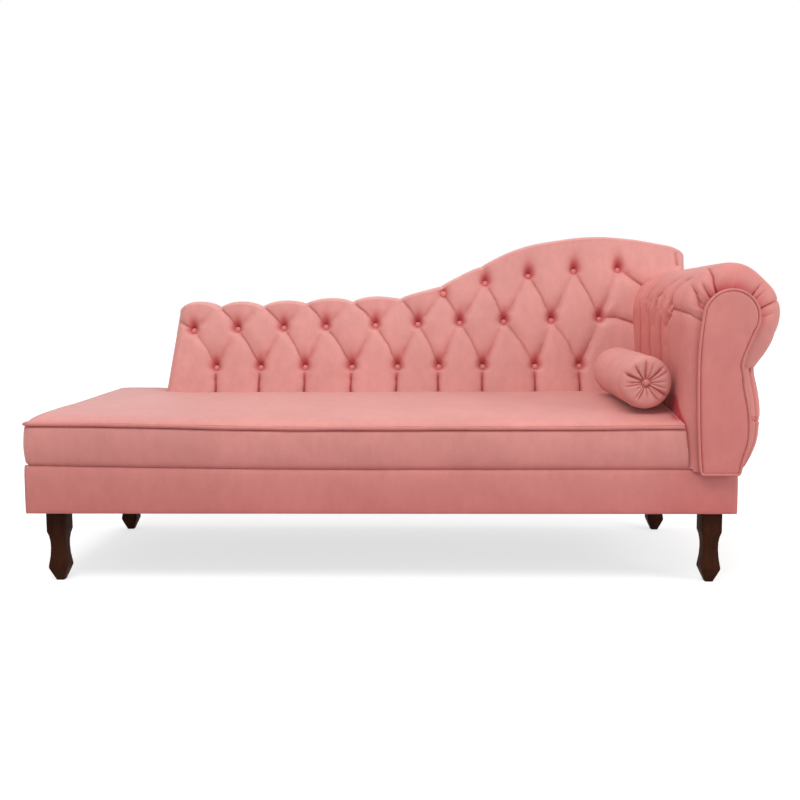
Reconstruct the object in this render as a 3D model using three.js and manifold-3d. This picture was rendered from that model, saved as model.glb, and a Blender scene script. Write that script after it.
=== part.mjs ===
// A fainting couch with a deep-buttoned camel back, a tight padded seat, one scroll arm and a loose bolster.
// Millimetres, +Z up. The seat faces -Y and the arm stands at the +X end. Places are worked out from the
// base's front left corner on the floor, and the finished couch is moved so that its origin is the middle
// of its footprint.

import * as THREE from 'three';
import { mergeVertices } from 'three/addons/utils/BufferGeometryUtils.js';
import Module from 'manifold-3d';

const wasm = await Module();
wasm.setup();

// Clearance between pieces that touch, the same between soft pieces, how far a cutting body passes a face,
// and when two points are one
const fit = 0.3;
const softFit = 1.5;
const overrun = 30;
const weld = 0.001;

// Base box: four rails, a stretcher and two leg boards inside thin padded covers
const baseLength = 1800;
const baseDepth = 700;
const railHeight = 110;
const railThickness = 25;
const coverThickness = 8;
const coverCrown = 1.5;
const rearCoverThickness = 6;
const dustCoverThickness = 1;
const legBoardWidth = 100;
const legBoardThickness = 22;

// Webbing under the seat
const strapWidth = 60;
const strapThickness = 1.5;
const strapEndMargin = 12;
const crossStraps = 8;
const longStraps = 2;

// Legs, sawn to one curve on all four faces
const legHeight = 186;
const legBlockWidth = 48;
const legLeftInset = 65;
const legRightInset = 52.5;
const legFrontInset = 55;
const legRearInset = 59;
const studRadius = 4;
const studLength = 24;

// Seat cushion
const seatEdgeHeight = 116;
const seatCrown = 36;
const seatCrownReach = 340;
const seatLeftShare = 0.45;
const seatRearShare = 0.12;
const seatCornerRadius = 18;
const seatBulge = 3;
const seatSag = 10;
const pipingRadius = 4.5;
const grooveClearance = 1;

// Back
const backLeft = 216;
const backOverhang = 23.5;
const backLowHeight = 731;
const backPeakHeight = 924;
const backFoot = 170;
const backFaceHeight = 445;
const backTopGap = 7.7;
const backLean = THREE.MathUtils.degToRad(8.2);
const backPadThickness = 50;
const backBoardThickness = 12;
const backTopRadius = 22;
const backPostWidth = 40;
const backCornerDrop = 30;
const backEndRounding = 22;

// Buttoning of the back
const pitchesAlongBack = 11.4007;
const buttonRadius = 9.5;
const buttonHeight = 7;
const tuftDepth = 34;
const pleatDepth = 13;
const lowRowShare = 0.29;
const middleRowShare = 0.685;
const middleRowRise = 31;
const scallopDepth = 12;

// Scroll arm
const armWidth = 142;
const armHeight = 811;
const rollRadius = 122.5;
const armFrontProud = 4;
const armFrontRounding = 32;
const armRearRounding = 6;
const armNeckDrop = 143.5;
const armNeckProud = 40;
const armBellyProud = 58.5;
const armBoardThickness = 18;
const armBoardInset = 10;
const rollRailRadius = 20;
const armButtonRise = 12;
const armTuftDepth = 26;
const armPleatDepth = 9;

// Arm facing
const facingThickness = 20;
const facingEdge = 3;
const facingLeft = 38;
const facingHeadRadius = 64.5;
const facingHeadX = 110;
const facingHeadDrop = 13.5;
const facingProud = 14.5;
const facingNeckRise = 21;
const facingHang = 10;
const facingHeadStart = THREE.MathUtils.degToRad(171.4);
const facingHeadEnd = THREE.MathUtils.degToRad(-36);
const facingFootInset = 9.5;
const facingPipingRadius = 3.5;

// Bolster
const bolsterRearGap = 86;
const bolsterRadius = 68;
const bolsterFront = 44;
const bolsterArmGap = 10.5;
const bolsterSlope = THREE.MathUtils.degToRad(1.4);
const bolsterGathers = 16;
const gatherDepth = 2.5;

// Sizes, heights and planes that follow
const backRight = baseLength + backOverhang;
const backFaceDepth = baseDepth - backFoot;
const backBoardDrop = backTopRadius * 1.6;
const backRake = Math.atan2(
  backFoot - backPadThickness - backBoardThickness - rearCoverThickness - backTopGap,
  backPeakHeight - backBoardDrop - backFaceHeight,
);
const buttonPitch = (backRight - backLeft) / pitchesAlongBack;
const lowRowHeight = backFaceHeight + lowRowShare * (backLowHeight - backFaceHeight);
const middleRowHeight = backFaceHeight + middleRowShare * (backLowHeight - backFaceHeight);
const bolsterLength = backFaceDepth - bolsterFront - bolsterRearGap;
const frameBottom = legHeight + fit;
const frameTop = frameBottom + railHeight;
const baseBottom = legHeight - dustCoverThickness;
const deckTop = frameTop + fit + strapThickness;
const upholsteryBottom = deckTop + fit;
const rearFace = baseDepth - rearCoverThickness - fit;
const innerSide = coverThickness + fit;
const seatHeight = legHeight + railHeight + seatEdgeHeight + pipingRadius / 2;
const armInner = baseLength - armWidth;
const rollX = armInner + rollRadius;
const rollZ = armHeight - rollRadius;
const armNeckHeight = rollZ - armNeckDrop;
const facingHeadHeight = rollZ - facingHeadDrop;

// Finishes
const fabric = { color: '#d98a84', roughness: 0.85, metalness: 0 };
const softwood = { color: '#cfae7c', roughness: 0.7, metalness: 0 };
const plywood = { color: '#d8bd8f', roughness: 0.7, metalness: 0 };
const darkWood = { color: '#35201a', roughness: 0.45, metalness: 0 };
const webbingCloth = { color: '#3a3a3a', roughness: 0.9, metalness: 0 };
const blackCloth = { color: '#1c1c1c', roughness: 0.95, metalness: 0 };

const couch = new THREE.Group();

function add(name, geometry, finish, parent = couch) {
  const mesh = new THREE.Mesh(geometry, new THREE.MeshStandardMaterial(finish));
  mesh.name = name;
  parent.add(mesh);
  return mesh;
}

// Small helpers

function mix(low, high, share) {
  return low + (high - low) * share;
}

function clamp(value, low, high) {
  return Math.min(Math.max(value, low), high);
}

// Smooth value at x on a table of [x, value] pairs
function readTable(table, x) {
  const last = table.length - 1;
  if (x <= table[0][0]) return table[0][1];
  if (x >= table[last][0]) return table[last][1];
  let k = 0;
  while (x > table[k + 1][0]) k += 1;
  const slope = (i) => {
    const before = table[Math.max(i - 1, 0)];
    const after = table[Math.min(i + 1, last)];
    return (after[1] - before[1]) / (after[0] - before[0]);
  };
  const span = table[k + 1][0] - table[k][0];
  const t = (x - table[k][0]) / span;
  const rise = t * t * (3 - 2 * t);
  const leave = t * (1 - t) * (1 - t) * span;
  const arrive = t * t * (t - 1) * span;
  return mix(table[k][1], table[k + 1][1], rise) + leave * slope(k) + arrive * slope(k + 1);
}

// Geometry helpers

function fromTriangles(points, triangles) {
  const geometry = new THREE.BufferGeometry();
  geometry.setAttribute('position', new THREE.Float32BufferAttribute(points.flatMap((p) => p.toArray()), 3));
  geometry.setIndex(triangles.flat());
  return turnedOutwards(geometry);
}

function signedVolume(geometry) {
  const place = geometry.getAttribute('position');
  const index = geometry.index;
  const corners = [new THREE.Vector3(), new THREE.Vector3(), new THREE.Vector3()];
  let sum = 0;
  for (let i = 0; i < index.count; i += 3) {
    corners.forEach((corner, k) => corner.fromBufferAttribute(place, index.getX(i + k)));
    sum += corners[0].dot(corners[1].clone().cross(corners[2]));
  }
  return sum / 6;
}

function turnedOutwards(geometry) {
  if (signedVolume(geometry) < 0) {
    const index = geometry.index;
    for (let i = 0; i < index.count; i += 3) {
      const second = index.getX(i + 1);
      index.setX(i + 1, index.getX(i + 2));
      index.setX(i + 2, second);
    }
  }
  geometry.computeVertexNormals();
  return geometry;
}

// One closed mesh with shared vertices and no slivers of zero width
function closed(geometry) {
  const bare = new THREE.BufferGeometry();
  bare.setAttribute('position', geometry.getAttribute('position').clone());
  if (geometry.index) bare.setIndex(geometry.index.clone());
  const merged = mergeVertices(bare, weld);
  const kept = [];
  for (let i = 0; i < merged.index.count; i += 3) {
    const [a, b, c] = [merged.index.getX(i), merged.index.getX(i + 1), merged.index.getX(i + 2)];
    if (a !== b && b !== c && c !== a) kept.push(a, b, c);
  }
  merged.setIndex(kept);
  return turnedOutwards(merged);
}

function toSolid(geometry) {
  const mesh = closed(geometry);
  return new wasm.Manifold(new wasm.Mesh({
    numProp: 3,
    vertProperties: new Float32Array(mesh.getAttribute('position').array),
    triVerts: new Uint32Array(mesh.index.array),
  }));
}

function toGeometry(solid) {
  const mesh = solid.getMesh();
  const geometry = new THREE.BufferGeometry();
  geometry.setAttribute('position', new THREE.Float32BufferAttribute(mesh.vertProperties, 3));
  geometry.setIndex(Array.from(mesh.triVerts));
  geometry.computeVertexNormals();
  return geometry;
}

// Box between two corners
function box(low, high) {
  const size = high.map((value, i) => value - low[i]);
  const geometry = new THREE.BoxGeometry(...size);
  geometry.translate(...high.map((value, i) => (value + low[i]) / 2));
  return geometry;
}

// Outline of [x, z] points, pulled along Y from front to rear
function alongY(outline, front, rear, holes = []) {
  const shape = new THREE.Shape(outline.map(([x, z]) => new THREE.Vector2(x, z)));
  shape.holes = holes;
  const geometry = new THREE.ExtrudeGeometry(shape, { depth: rear - front, bevelEnabled: false });
  geometry.rotateX(Math.PI / 2);
  geometry.translate(0, rear, 0);
  return geometry;
}

// Outline of [y, z] points, pulled along X from left to right
function alongX(outline, left, right) {
  const shape = new THREE.Shape(outline.map(([y, z]) => new THREE.Vector2(y, z)));
  const geometry = new THREE.ExtrudeGeometry(shape, { depth: right - left, bevelEnabled: false });
  const turn = new THREE.Matrix4().makeBasis(
    new THREE.Vector3(0, 1, 0),
    new THREE.Vector3(0, 0, 1),
    new THREE.Vector3(1, 0, 0),
  );
  geometry.applyMatrix4(turn);
  geometry.translate(left, 0, 0);
  return geometry;
}

// A path that is stepped from one chosen point to the next, so that tight corners keep their points
class Route extends THREE.Curve {
  constructor(points) {
    super();
    this.points = points;
  }

  getPoint(t, target = new THREE.Vector3()) {
    const place = t * (this.points.length - 1);
    const k = Math.min(Math.floor(place), this.points.length - 2);
    return target.lerpVectors(this.points[k], this.points[k + 1], place - k);
  }

  getPointAt(u, target) {
    return this.getPoint(u, target);
  }

  getTangentAt(u, target = new THREE.Vector3()) {
    const k = Math.round(u * (this.points.length - 1));
    const before = this.points[Math.max(k - 1, 0)];
    const after = this.points[Math.min(k + 1, this.points.length - 1)];
    return target.subVectors(after, before).normalize();
  }
}

// Round tube with eight sides through a list of points
function tube(points, radius) {
  const section = new THREE.Shape();
  section.absarc(0, 0, radius, 0, Math.PI * 2, false);
  return closed(new THREE.ExtrudeGeometry(section, {
    extrudePath: new Route(points),
    steps: points.length - 1,
    curveSegments: 4,
    bevelEnabled: false,
  }));
}

// Rings of equal point counts joined into one closed body, its two ends filled as seen by flat(point)
function loft(rings, flat, turnCell = () => false) {
  const count = rings[0].length;
  const triangles = [];
  for (let k = 0; k + 1 < rings.length; k += 1) {
    for (let i = 0; i < count; i += 1) {
      const next = (i + 1) % count;
      const [a, b, c, d] = [k * count + i, k * count + next, (k + 1) * count + next, (k + 1) * count + i];
      if (turnCell(k, i)) triangles.push([a, b, d], [b, c, d]);
      else triangles.push([a, b, c], [a, c, d]);
    }
  }
  const fill = (ring) => THREE.ShapeUtils.triangulateShape(ring.map(flat), [])
    .map((face) => [...face].sort((one, other) => one - other));
  const lastStart = (rings.length - 1) * count;
  fill(rings[0]).forEach(([a, b, c]) => triangles.push([a, c, b]));
  fill(rings.at(-1)).forEach(([a, b, c]) => triangles.push([lastStart + a, lastStart + b, lastStart + c]));
  return closed(fromTriangles(rings.flat(), triangles));
}

// Closed outline moved inwards (outwards when negative) by a distance, point for point
function insetOutline(points, distance) {
  const place = points.map(([x, y]) => new THREE.Vector2(x, y));
  const facing = THREE.ShapeUtils.area(place) > 0 ? 1 : -1;
  return place.map((point, i) => {
    const before = place[(i + place.length - 1) % place.length];
    const after = place[(i + 1) % place.length];
    const arriving = point.clone().sub(before).normalize();
    const leaving = after.clone().sub(point).normalize();
    const inwards = new THREE.Vector2(-arriving.y - leaving.y, arriving.x + leaving.x).normalize();
    const reach = inwards.dot(new THREE.Vector2(-arriving.y, arriving.x));
    const move = (facing * distance) / Math.max(reach, 0.5);
    return [point.x + inwards.x * move, point.y + inwards.y * move];
  });
}

// Base frame

const railEnd = baseLength - innerSide;
const frontRailBack = innerSide + railThickness;
const rearRailFront = rearFace - railThickness;

add('rail_front', box([innerSide, innerSide, frameBottom], [railEnd, frontRailBack, frameTop]), softwood);
add('rail_rear', box([innerSide, rearRailFront, frameBottom], [railEnd, rearFace, frameTop]), softwood);

function crossRail(name, left, right, bottom, top) {
  const front = frontRailBack + fit;
  const rear = rearRailFront - fit;
  return add(name, box([left, front, bottom], [right, rear, top]), softwood);
}

crossRail('rail_left', innerSide, innerSide + railThickness, frameBottom, frameTop);
crossRail('rail_right', railEnd - railThickness, railEnd, frameBottom, frameTop);
const middle = baseLength / 2;
crossRail('stretcher', middle - railThickness / 2, middle + railThickness / 2, frameBottom, frameTop);

// Legs and the boards that they screw into

const legPlaces = [
  { name: 'front_left', x: legLeftInset, y: legFrontInset },
  { name: 'front_right', x: baseLength - legRightInset, y: legFrontInset },
  { name: 'rear_left', x: legLeftInset, y: baseDepth - legRearInset },
  { name: 'rear_right', x: baseLength - legRightInset, y: baseDepth - legRearInset },
];

// Half-width against height: small square toe, full foot, slim ankle, straight block
const legProfileShares = [
  [0, 0.33], [0.02, 0.35], [0.1, 0.66], [0.17, 0.9], [0.19, 0.95], [0.22, 0.94], [0.28, 0.87], [0.36, 0.77],
  [0.47, 0.71], [0.56, 0.74], [0.64, 0.84], [0.7, 0.98], [0.72, 1], [1, 1],
];

function legGeometry() {
  const side = legProfileShares.map(([up, across]) => [across * legBlockWidth / 2, up * legHeight]);
  const outline = [...side, ...side.map(([across, up]) => [-across, up]).reverse()];
  const reach = legBlockWidth / 2 + overrun;
  const sawn = toSolid(alongY(outline, -reach, reach)).intersect(toSolid(alongX(outline, -reach, reach)));
  const stud = new THREE.CylinderGeometry(studRadius, studRadius, studLength * 2, 12);
  stud.rotateX(Math.PI / 2);
  stud.translate(0, 0, legHeight);
  return toGeometry(sawn.add(toSolid(stud)));
}

for (const place of legPlaces) {
  const leg = add(`leg_${place.name}`, legGeometry(), darkWood);
  leg.position.set(place.x, place.y, 0);
}

function legBoard(name, left, right, legX) {
  const shape = new THREE.Shape([
    new THREE.Vector2(left, frontRailBack + fit),
    new THREE.Vector2(right, frontRailBack + fit),
    new THREE.Vector2(right, rearRailFront - fit),
    new THREE.Vector2(left, rearRailFront - fit),
  ]);
  for (const y of [legFrontInset, baseDepth - legRearInset]) {
    const hole = new THREE.Path();
    hole.absarc(legX, y, studRadius + fit, 0, Math.PI * 2, true);
    shape.holes.push(hole);
  }
  const board = new THREE.ExtrudeGeometry(shape, {
    depth: legBoardThickness,
    curveSegments: 6,
    bevelEnabled: false,
  });
  board.translate(0, 0, frameBottom);
  return add(name, closed(board), softwood);
}

const boardStart = innerSide + railThickness + fit;
legBoard('leg_board_left', boardStart, boardStart + legBoardWidth, legLeftInset);
const boardEnd = baseLength - boardStart;
legBoard('leg_board_right', boardEnd - legBoardWidth, boardEnd, baseLength - legRightInset);

// Dust cover under the frame, cut out round the legs

function dustCover() {
  const sheet = toSolid(box([innerSide, innerSide, baseBottom], [railEnd, rearFace, legHeight]));
  const half = legBlockWidth / 2 + fit;
  return legPlaces.reduce((left, { x, y }) => {
    const cut = box([x - half, y - half, 0], [x + half, y + half, legHeight + overrun]);
    return left.subtract(toSolid(cut));
  }, sheet);
}

add('dust_cover', toGeometry(dustCover()), blackCloth);

// Base covers: thin padded panels with a little crown

function coverSection(bottom, top) {
  const crown = coverCrown;
  const height = top - bottom;
  return [
    [coverThickness, bottom],
    [crown, bottom],
    [0, bottom + height * 0.25],
    [0, bottom + height * 0.75],
    [crown, top],
    [coverThickness, top],
  ];
}

const frontSection = coverSection(baseBottom, deckTop);
add('base_cover_front', alongX(frontSection, 0, baseLength), fabric);
const sideFront = coverThickness + fit;
const leftOutline = frontSection.map(([across, up]) => [across, up]);
add('base_cover_left', alongY(leftOutline, sideFront, baseDepth - rearCoverThickness - fit), fabric);
const rightOutline = frontSection.map(([across, up]) => [baseLength - across, up]);
add('base_cover_right', alongY(rightOutline, sideFront, baseDepth - rearCoverThickness - fit), fabric);

// Seat cushion

// Height over the piping against distance in from the edge
const seatCrownShares = [
  [0, 0], [0.035, 0.25], [0.076, 0.4], [0.147, 0.55], [0.294, 0.7], [0.53, 0.83], [0.824, 0.94], [1, 1],
];
const seatCrownTable = seatCrownShares.map(([inset, up]) => [inset * seatCrownReach, up * seatCrown]);

// The front edge hangs a little between its ends
function seatSagAt(x, y) {
  const along = clamp(x / armInner, 0, 1);
  const back = clamp(y / backFaceDepth, 0, 1);
  return -seatSag * Math.sin(Math.PI * along) ** 2 * (1 - back) ** 2;
}

const groove = pipingRadius + grooveClearance;

// Distance in from a steeper edge for a distance in from the front edge, and back
function insetAt(share, inset) {
  return inset <= groove ? inset : mix(groove, inset, share);
}

function frontInset(share, inset) {
  return inset <= groove ? inset : groove + (inset - groove) / share;
}

function seatTopAt(x, y) {
  const left = frontInset(seatLeftShare, x);
  const rear = frontInset(seatRearShare, baseDepth - y);
  const inset = Math.max(Math.min(left, y, rear), 0);
  return seatHeight + readTable(seatCrownTable, inset) + seatSagAt(x, y);
}

// Plan outline of the seat at a distance in from its front edge, with as many points each time. The crown
// rises faster at the left end, and faster still at the rear.
function seatPlan(inset, length) {
  const radius = Math.max(seatCornerRadius - inset, seatCornerRadius / 6);
  const low = [insetAt(seatLeftShare, inset), inset];
  const high = [length - insetAt(seatLeftShare, inset), baseDepth - insetAt(seatRearShare, inset)];
  const corners = [
    [low[0] + radius, low[1] + radius, Math.PI],
    [high[0] - radius, low[1] + radius, Math.PI * 1.5],
    [high[0] - radius, high[1] - radius, 0],
    [low[0] + radius, high[1] - radius, Math.PI / 2],
  ];
  const spans = [14, 5, 14, 5];
  const turns = 3;
  const points = [];
  corners.forEach(([x, y, start], k) => {
    for (let i = 0; i <= turns; i += 1) {
      const angle = start + (Math.PI / 2) * (i / turns);
      points.push([x + Math.cos(angle) * radius, y + Math.sin(angle) * radius]);
    }
    const [nextX, nextY, nextStart] = corners[(k + 1) % corners.length];
    const from = points.at(-1);
    const to = [nextX + Math.cos(nextStart) * radius, nextY + Math.sin(nextStart) * radius];
    for (let i = 1; i < spans[k]; i += 1) {
      points.push([mix(from[0], to[0], i / spans[k]), mix(from[1], to[1], i / spans[k])]);
    }
  });
  return points;
}

const seatSections = [
  { inset: 0, up: upholsteryBottom - seatHeight, sag: 0 },
  { inset: -seatBulge, up: -seatEdgeHeight * 0.6, sag: 0.3 },
  { inset: -seatBulge, up: -seatEdgeHeight * 0.25, sag: 0.8 },
  { inset: -grooveClearance, up: -groove, sag: 1 },
  { inset: groove, up: -groove * 0.75, sag: 1 },
  { inset: groove, up: groove * 0.6, sag: 1 },
  { inset: grooveClearance * 2, up: groove, sag: 1 },
];

function seatBody() {
  const extension = baseDepth / 2;
  const length = armInner + extension;
  const sections = [...seatSections];
  for (const [inset] of seatCrownTable.slice(1)) {
    sections.push({ inset, up: readTable(seatCrownTable, inset), sag: 1 });
  }
  const rings = sections.map(({ inset, up, sag }) => seatPlan(inset, length).map(([x, y]) => (
    new THREE.Vector3(x, y, seatHeight + up + sag * seatSagAt(x, y))
  )));
  return toSolid(loft(rings, (point) => new THREE.Vector2(point.x, point.y)));
}

function backFaceAt(z) {
  return backFaceDepth + (z - backFaceHeight) * Math.tan(backRake);
}

// The seat stops at the arm and in front of the back
function seatCushion() {
  const high = seatHeight + seatCrown + overrun;
  const far = armInner + baseDepth;
  const armCut = box([armInner - fit, -overrun, 0], [far, baseDepth + overrun, high]);
  const backCut = alongX([
    [backFaceAt(0) - softFit, 0],
    [baseDepth + overrun, 0],
    [baseDepth + overrun, high],
    [backFaceAt(high) - softFit, high],
  ], backLeft - softFit, armInner + overrun);
  return seatBody().subtract(toSolid(armCut)).subtract(toSolid(backCut));
}

add('seat_cushion', toGeometry(seatCushion()), fabric);

// Piping round the front, the left end and the rear as far as the back

function seatPiping() {
  const radius = seatCornerRadius + fit;
  const points = [];
  const place = (x, y) => points.push(new THREE.Vector3(x, y, seatHeight + seatSagAt(x, y)));
  const edge = -fit * 2;
  const frontSpans = 16;
  for (let i = 0; i < frontSpans; i += 1) {
    place(mix(armInner - fit * 4, radius * 2, i / frontSpans), edge);
  }
  const corner = (x, y, start) => {
    for (let i = 0; i <= 3; i += 1) {
      const angle = start - (Math.PI / 2) * (i / 3);
      place(x + Math.cos(angle) * radius, y + Math.sin(angle) * radius);
    }
  };
  corner(edge + radius, edge + radius, Math.PI * 1.5);
  const sideSpans = 5;
  for (let i = 1; i < sideSpans; i += 1) place(edge, mix(radius, baseDepth - radius, i / sideSpans));
  corner(edge + radius, baseDepth - edge - radius, Math.PI);
  place(mix(radius, backLeft, 0.5), baseDepth - edge);
  place(backLeft - groove, baseDepth - edge);
  return tube(points, pipingRadius);
}

add('seat_piping', seatPiping(), fabric);

// Arm outlines, all as [x, z] points

const armBottom = upholsteryBottom;
const rollEnd = THREE.MathUtils.degToRad(-25);
const rollStart = Math.PI - Math.asin(armButtonRise / rollRadius);
const rollSpans = 14;

// Outer side below the roll, from the neck over the belly to the foot: [proud of the base, height]
const outerSideShares = [
  [0.68, 1], [0.79, 0.9], [0.91, 0.78], [1, 0.6], [1, 0.44],
  [0.95, 0.29], [0.78, 0.17], [0.5, 0.05], [0.37, 0],
];

// The roll's last part towards the neck is fuller than a circle: across and down from its centre
const rollTailShares = [[0.84, 0.62], [0.7, 0.86], [0.61, 0.98]];

function outerSide(neckProud, bellyProud, bottom) {
  return outerSideShares.map(([proud, up], i) => [
    baseLength + (i === 0 ? neckProud : proud * bellyProud),
    mix(bottom, armNeckHeight, up),
  ]);
}

function armOutline() {
  const points = [];
  for (const share of [0, 0.35, 0.62, 0.85, 1]) points.push([armInner, mix(armBottom, rollZ, share)]);
  for (let i = 0; i <= rollSpans; i += 1) {
    const angle = mix(rollStart, rollEnd, i / rollSpans);
    points.push([rollX + Math.cos(angle) * rollRadius, rollZ + Math.sin(angle) * rollRadius]);
  }
  for (const [across, down] of rollTailShares) {
    points.push([rollX + across * rollRadius, rollZ - down * rollRadius]);
  }
  points.push(...outerSide(armNeckProud, armBellyProud, armBottom));
  return points;
}

const armEdge = armOutline();

// The facing's outer side below its head: [proud of the base, height up to its neck]
const facingSideShares = [
  [-0.45, 1], [-0.24, 0.9], [0.03, 0.765], [0.65, 0.604], [1, 0.466], [1, 0.275], [0.52, 0.18], [-0.17, 0.04],
];

function facingOutline() {
  const left = armInner + facingLeft;
  const headX = armInner + facingHeadX;
  const points = [
    [left + facingFootInset, armBottom - facingHang],
    [left, mix(armBottom, armNeckHeight, 0.6)],
    [left - facingEdge / 2, armNeckHeight + facingLeft],
  ];
  const spans = 14;
  for (let i = 0; i <= spans; i += 1) {
    const angle = mix(facingHeadStart, facingHeadEnd, i / spans);
    const across = Math.cos(angle) * facingHeadRadius;
    points.push([headX + across, facingHeadHeight + Math.sin(angle) * facingHeadRadius]);
  }
  const neck = armNeckHeight + facingNeckRise;
  for (const [proud, up] of facingSideShares) {
    points.push([baseLength + proud * facingProud, mix(armBottom, neck, up)]);
  }
  points.push([points.at(-1)[0] - facingEdge, armBottom - facingHang]);
  return points;
}

const facingEdgeLine = facingOutline();

// The two scroll boards are smaller than the facing and stand on the base
function boardOutline(grow = 0) {
  return insetOutline(facingEdgeLine, armBoardInset - grow)
    .map(([x, z]) => [x, z < armBottom + armBoardInset ? armBottom - grow : z]);
}

const armFront = -armFrontProud;
const rearBoardFront = rearFace - armBoardThickness;
add('arm_front_board', alongY(boardOutline(), armFront, armFront + armBoardThickness), plywood);
add('arm_rear_board', alongY(boardOutline(), rearBoardFront, rearFace), plywood);

const frontBoardBack = armFront + armBoardThickness;
const rollRail = new THREE.CylinderGeometry(
  rollRailRadius,
  rollRailRadius,
  rearBoardFront - frontBoardBack - 2 * fit,
  16,
);
rollRail.translate(armInner + facingHeadX, (rearBoardFront + frontBoardBack) / 2, facingHeadHeight);
add('arm_roll_rail', closed(rollRail), softwood);

// Arm padding: the outline swept from front to rear, rounded at both ends, with sewn tufts on the inside

const armButtonShares = [0.22, 0.455, 0.62];
const armButtonPlaces = armButtonShares.map((share) => share * baseDepth);

function armTuftAt(index, y) {
  const buttonIndex = 5;
  const fade = clamp(1 - (index - buttonIndex) / (rollSpans * 0.65), 0, 1);
  if (index > buttonIndex + rollSpans || fade === 0) return 0;
  const distances = armButtonPlaces.map((place) => Math.abs(place - y));
  const nearest = Math.min(...distances);
  const pleat = clamp(1 - nearest / (buttonRadius * 3), 0, 1) * armPleatDepth;
  const button = index === buttonIndex ? clamp(1 - nearest / (buttonRadius * 2), 0, 1) : 0;
  return pleat * Math.min(fade, 1) + button * (armTuftDepth - armPleatDepth);
}

function armBody() {
  const rings = [];
  const addRing = (y, inset) => {
    const moved = armEdge.map(([x, z], i) => {
      const before = armEdge[(i + armEdge.length - 1) % armEdge.length];
      const after = armEdge[(i + 1) % armEdge.length];
      const outwards = new THREE.Vector2(before[1] - after[1], after[0] - before[0]).normalize();
      if (i === 0) outwards.set(-1, 0);
      if (i === armEdge.length - 1) outwards.set(1, 0);
      const depth = inset + armTuftAt(i, y);
      const height = Math.max(z - outwards.y * depth, armBottom);
      return new THREE.Vector3(x - outwards.x * depth, y, height);
    });
    rings.push(moved);
  };
  for (const [along, inwards] of [[0, 1], [0.12, 0.55], [0.4, 0.18], [1, 0]]) {
    addRing(armFront + along * armFrontRounding, inwards * armFrontRounding);
  }
  const stops = [];
  armButtonPlaces.forEach((place, i) => {
    stops.push(place - buttonRadius * 3, place, place + buttonRadius * 3);
    const next = armButtonPlaces[i + 1];
    if (next && next - place > buttonRadius * 12) stops.push((place + next) / 2);
  });
  stops.push(mix(armButtonPlaces.at(-1), rearFace, 0.5));
  stops.sort((one, other) => one - other);
  for (const y of stops) addRing(y, 0);
  addRing(rearFace - armRearRounding, 0);
  addRing(rearFace, armRearRounding);
  return toSolid(loft(rings, (point) => new THREE.Vector2(point.x, point.z)));
}

const armHollow = toSolid(alongY(boardOutline(fit), armFront - overrun, baseDepth + overrun));
const armPadding = armBody().subtract(armHollow);
const outerRegion = (shift) => toSolid(box(
  [armInner + armWidth / 2 + shift, -baseDepth, 0],
  [baseLength + baseDepth, baseDepth * 2, armNeckHeight - shift],
));
add('arm_pad', toGeometry(armPadding.subtract(outerRegion(0))), fabric);
add('arm_outer_panel', toGeometry(armPadding.intersect(outerRegion(fit))), fabric);

// Facing on the front of the arm, with piping round its edge

function facing() {
  const outline = insetOutline(facingEdgeLine, facingEdge);
  const shape = new THREE.Shape(outline.map(([x, z]) => new THREE.Vector2(x, z)));
  const geometry = new THREE.ExtrudeGeometry(shape, {
    depth: facingThickness - 2 * facingEdge,
    bevelEnabled: true,
    bevelSize: facingEdge,
    bevelThickness: facingEdge,
    bevelSegments: 1,
  });
  geometry.rotateX(Math.PI / 2);
  geometry.translate(0, armFront - fit - facingEdge, 0);
  return closed(geometry);
}

add('arm_front_panel', facing(), fabric);

function facingPiping() {
  const line = insetOutline(facingEdgeLine, -facingPipingRadius - 2 * fit);
  const y = armFront - fit - facingThickness + facingPipingRadius;
  const points = line.map(([x, z]) => new THREE.Vector3(x, y, Math.max(z, armBottom - facingHang)));
  return tube(points, facingPipingRadius);
}

add('arm_panel_piping', facingPiping(), fabric);

// Back outline

// Crest height against place along the back: low run, rise, peak and fall
const crestShares = [
  [0, 0], [0.2, 0], [0.31, 0.04], [0.4, 0.065], [0.455, 0.075], [0.522, 0.22], [0.601, 0.535],
  [0.68, 0.825], [0.76, 0.955], [0.829, 1], [0.898, 0.955], [0.957, 0.87], [1, 0.8],
];

function crestAt(x) {
  const share = (x - backLeft) / (backRight - backLeft);
  return backLowHeight + readTable(crestShares, share) * (backPeakHeight - backLowHeight);
}

// Places of the button rows along the back, in button pitches from its left end. Columns are numbered by
// half pitches: the low and upper rows use the even columns and the middle row the odd ones.
const lowRowShares = [1.1087, 2.0887, 3.0687, 4.0987, 5.0987, 5.9987, 6.9587, 8.0987, 9.0587];
const middleRowShares = [0.5887, 1.5637, 2.5887, 3.5187, 4.6137, 5.5487, 6.4637, 7.4287, 8.4687, 9.5137];
const upperRowShares = [1.1087, 2.0787, 3.0537, 4.1187, 5.1487, 6.1087, 7.0287, 7.9787, 8.9787, 9.9387];
const upperButtonsFrom = 12;
const upperRowDropShares = [[12, 0.15], [14, 0.32], [16, 0.48], [18, 0.52], [20, 0.5], [23, 0.4]];
const lastColumn = 23;
const lastMiddleColumn = 19;

function leftEdgeAt(z) {
  return backLeft + Math.max(z - backFaceHeight, 0) * Math.tan(backLean);
}

function rowTable(shares, firstColumn, edgeHeight) {
  const table = [[0, leftEdgeAt(edgeHeight)]];
  shares.forEach((share, i) => table.push([firstColumn + 2 * i, backLeft + share * buttonPitch]));
  table.push([lastColumn, backRight]);
  return table;
}

const rows = [
  rowTable(lowRowShares, 2, lowRowHeight),
  rowTable(middleRowShares, 1, middleRowHeight),
  rowTable(upperRowShares, 2, backLowHeight),
];

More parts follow.
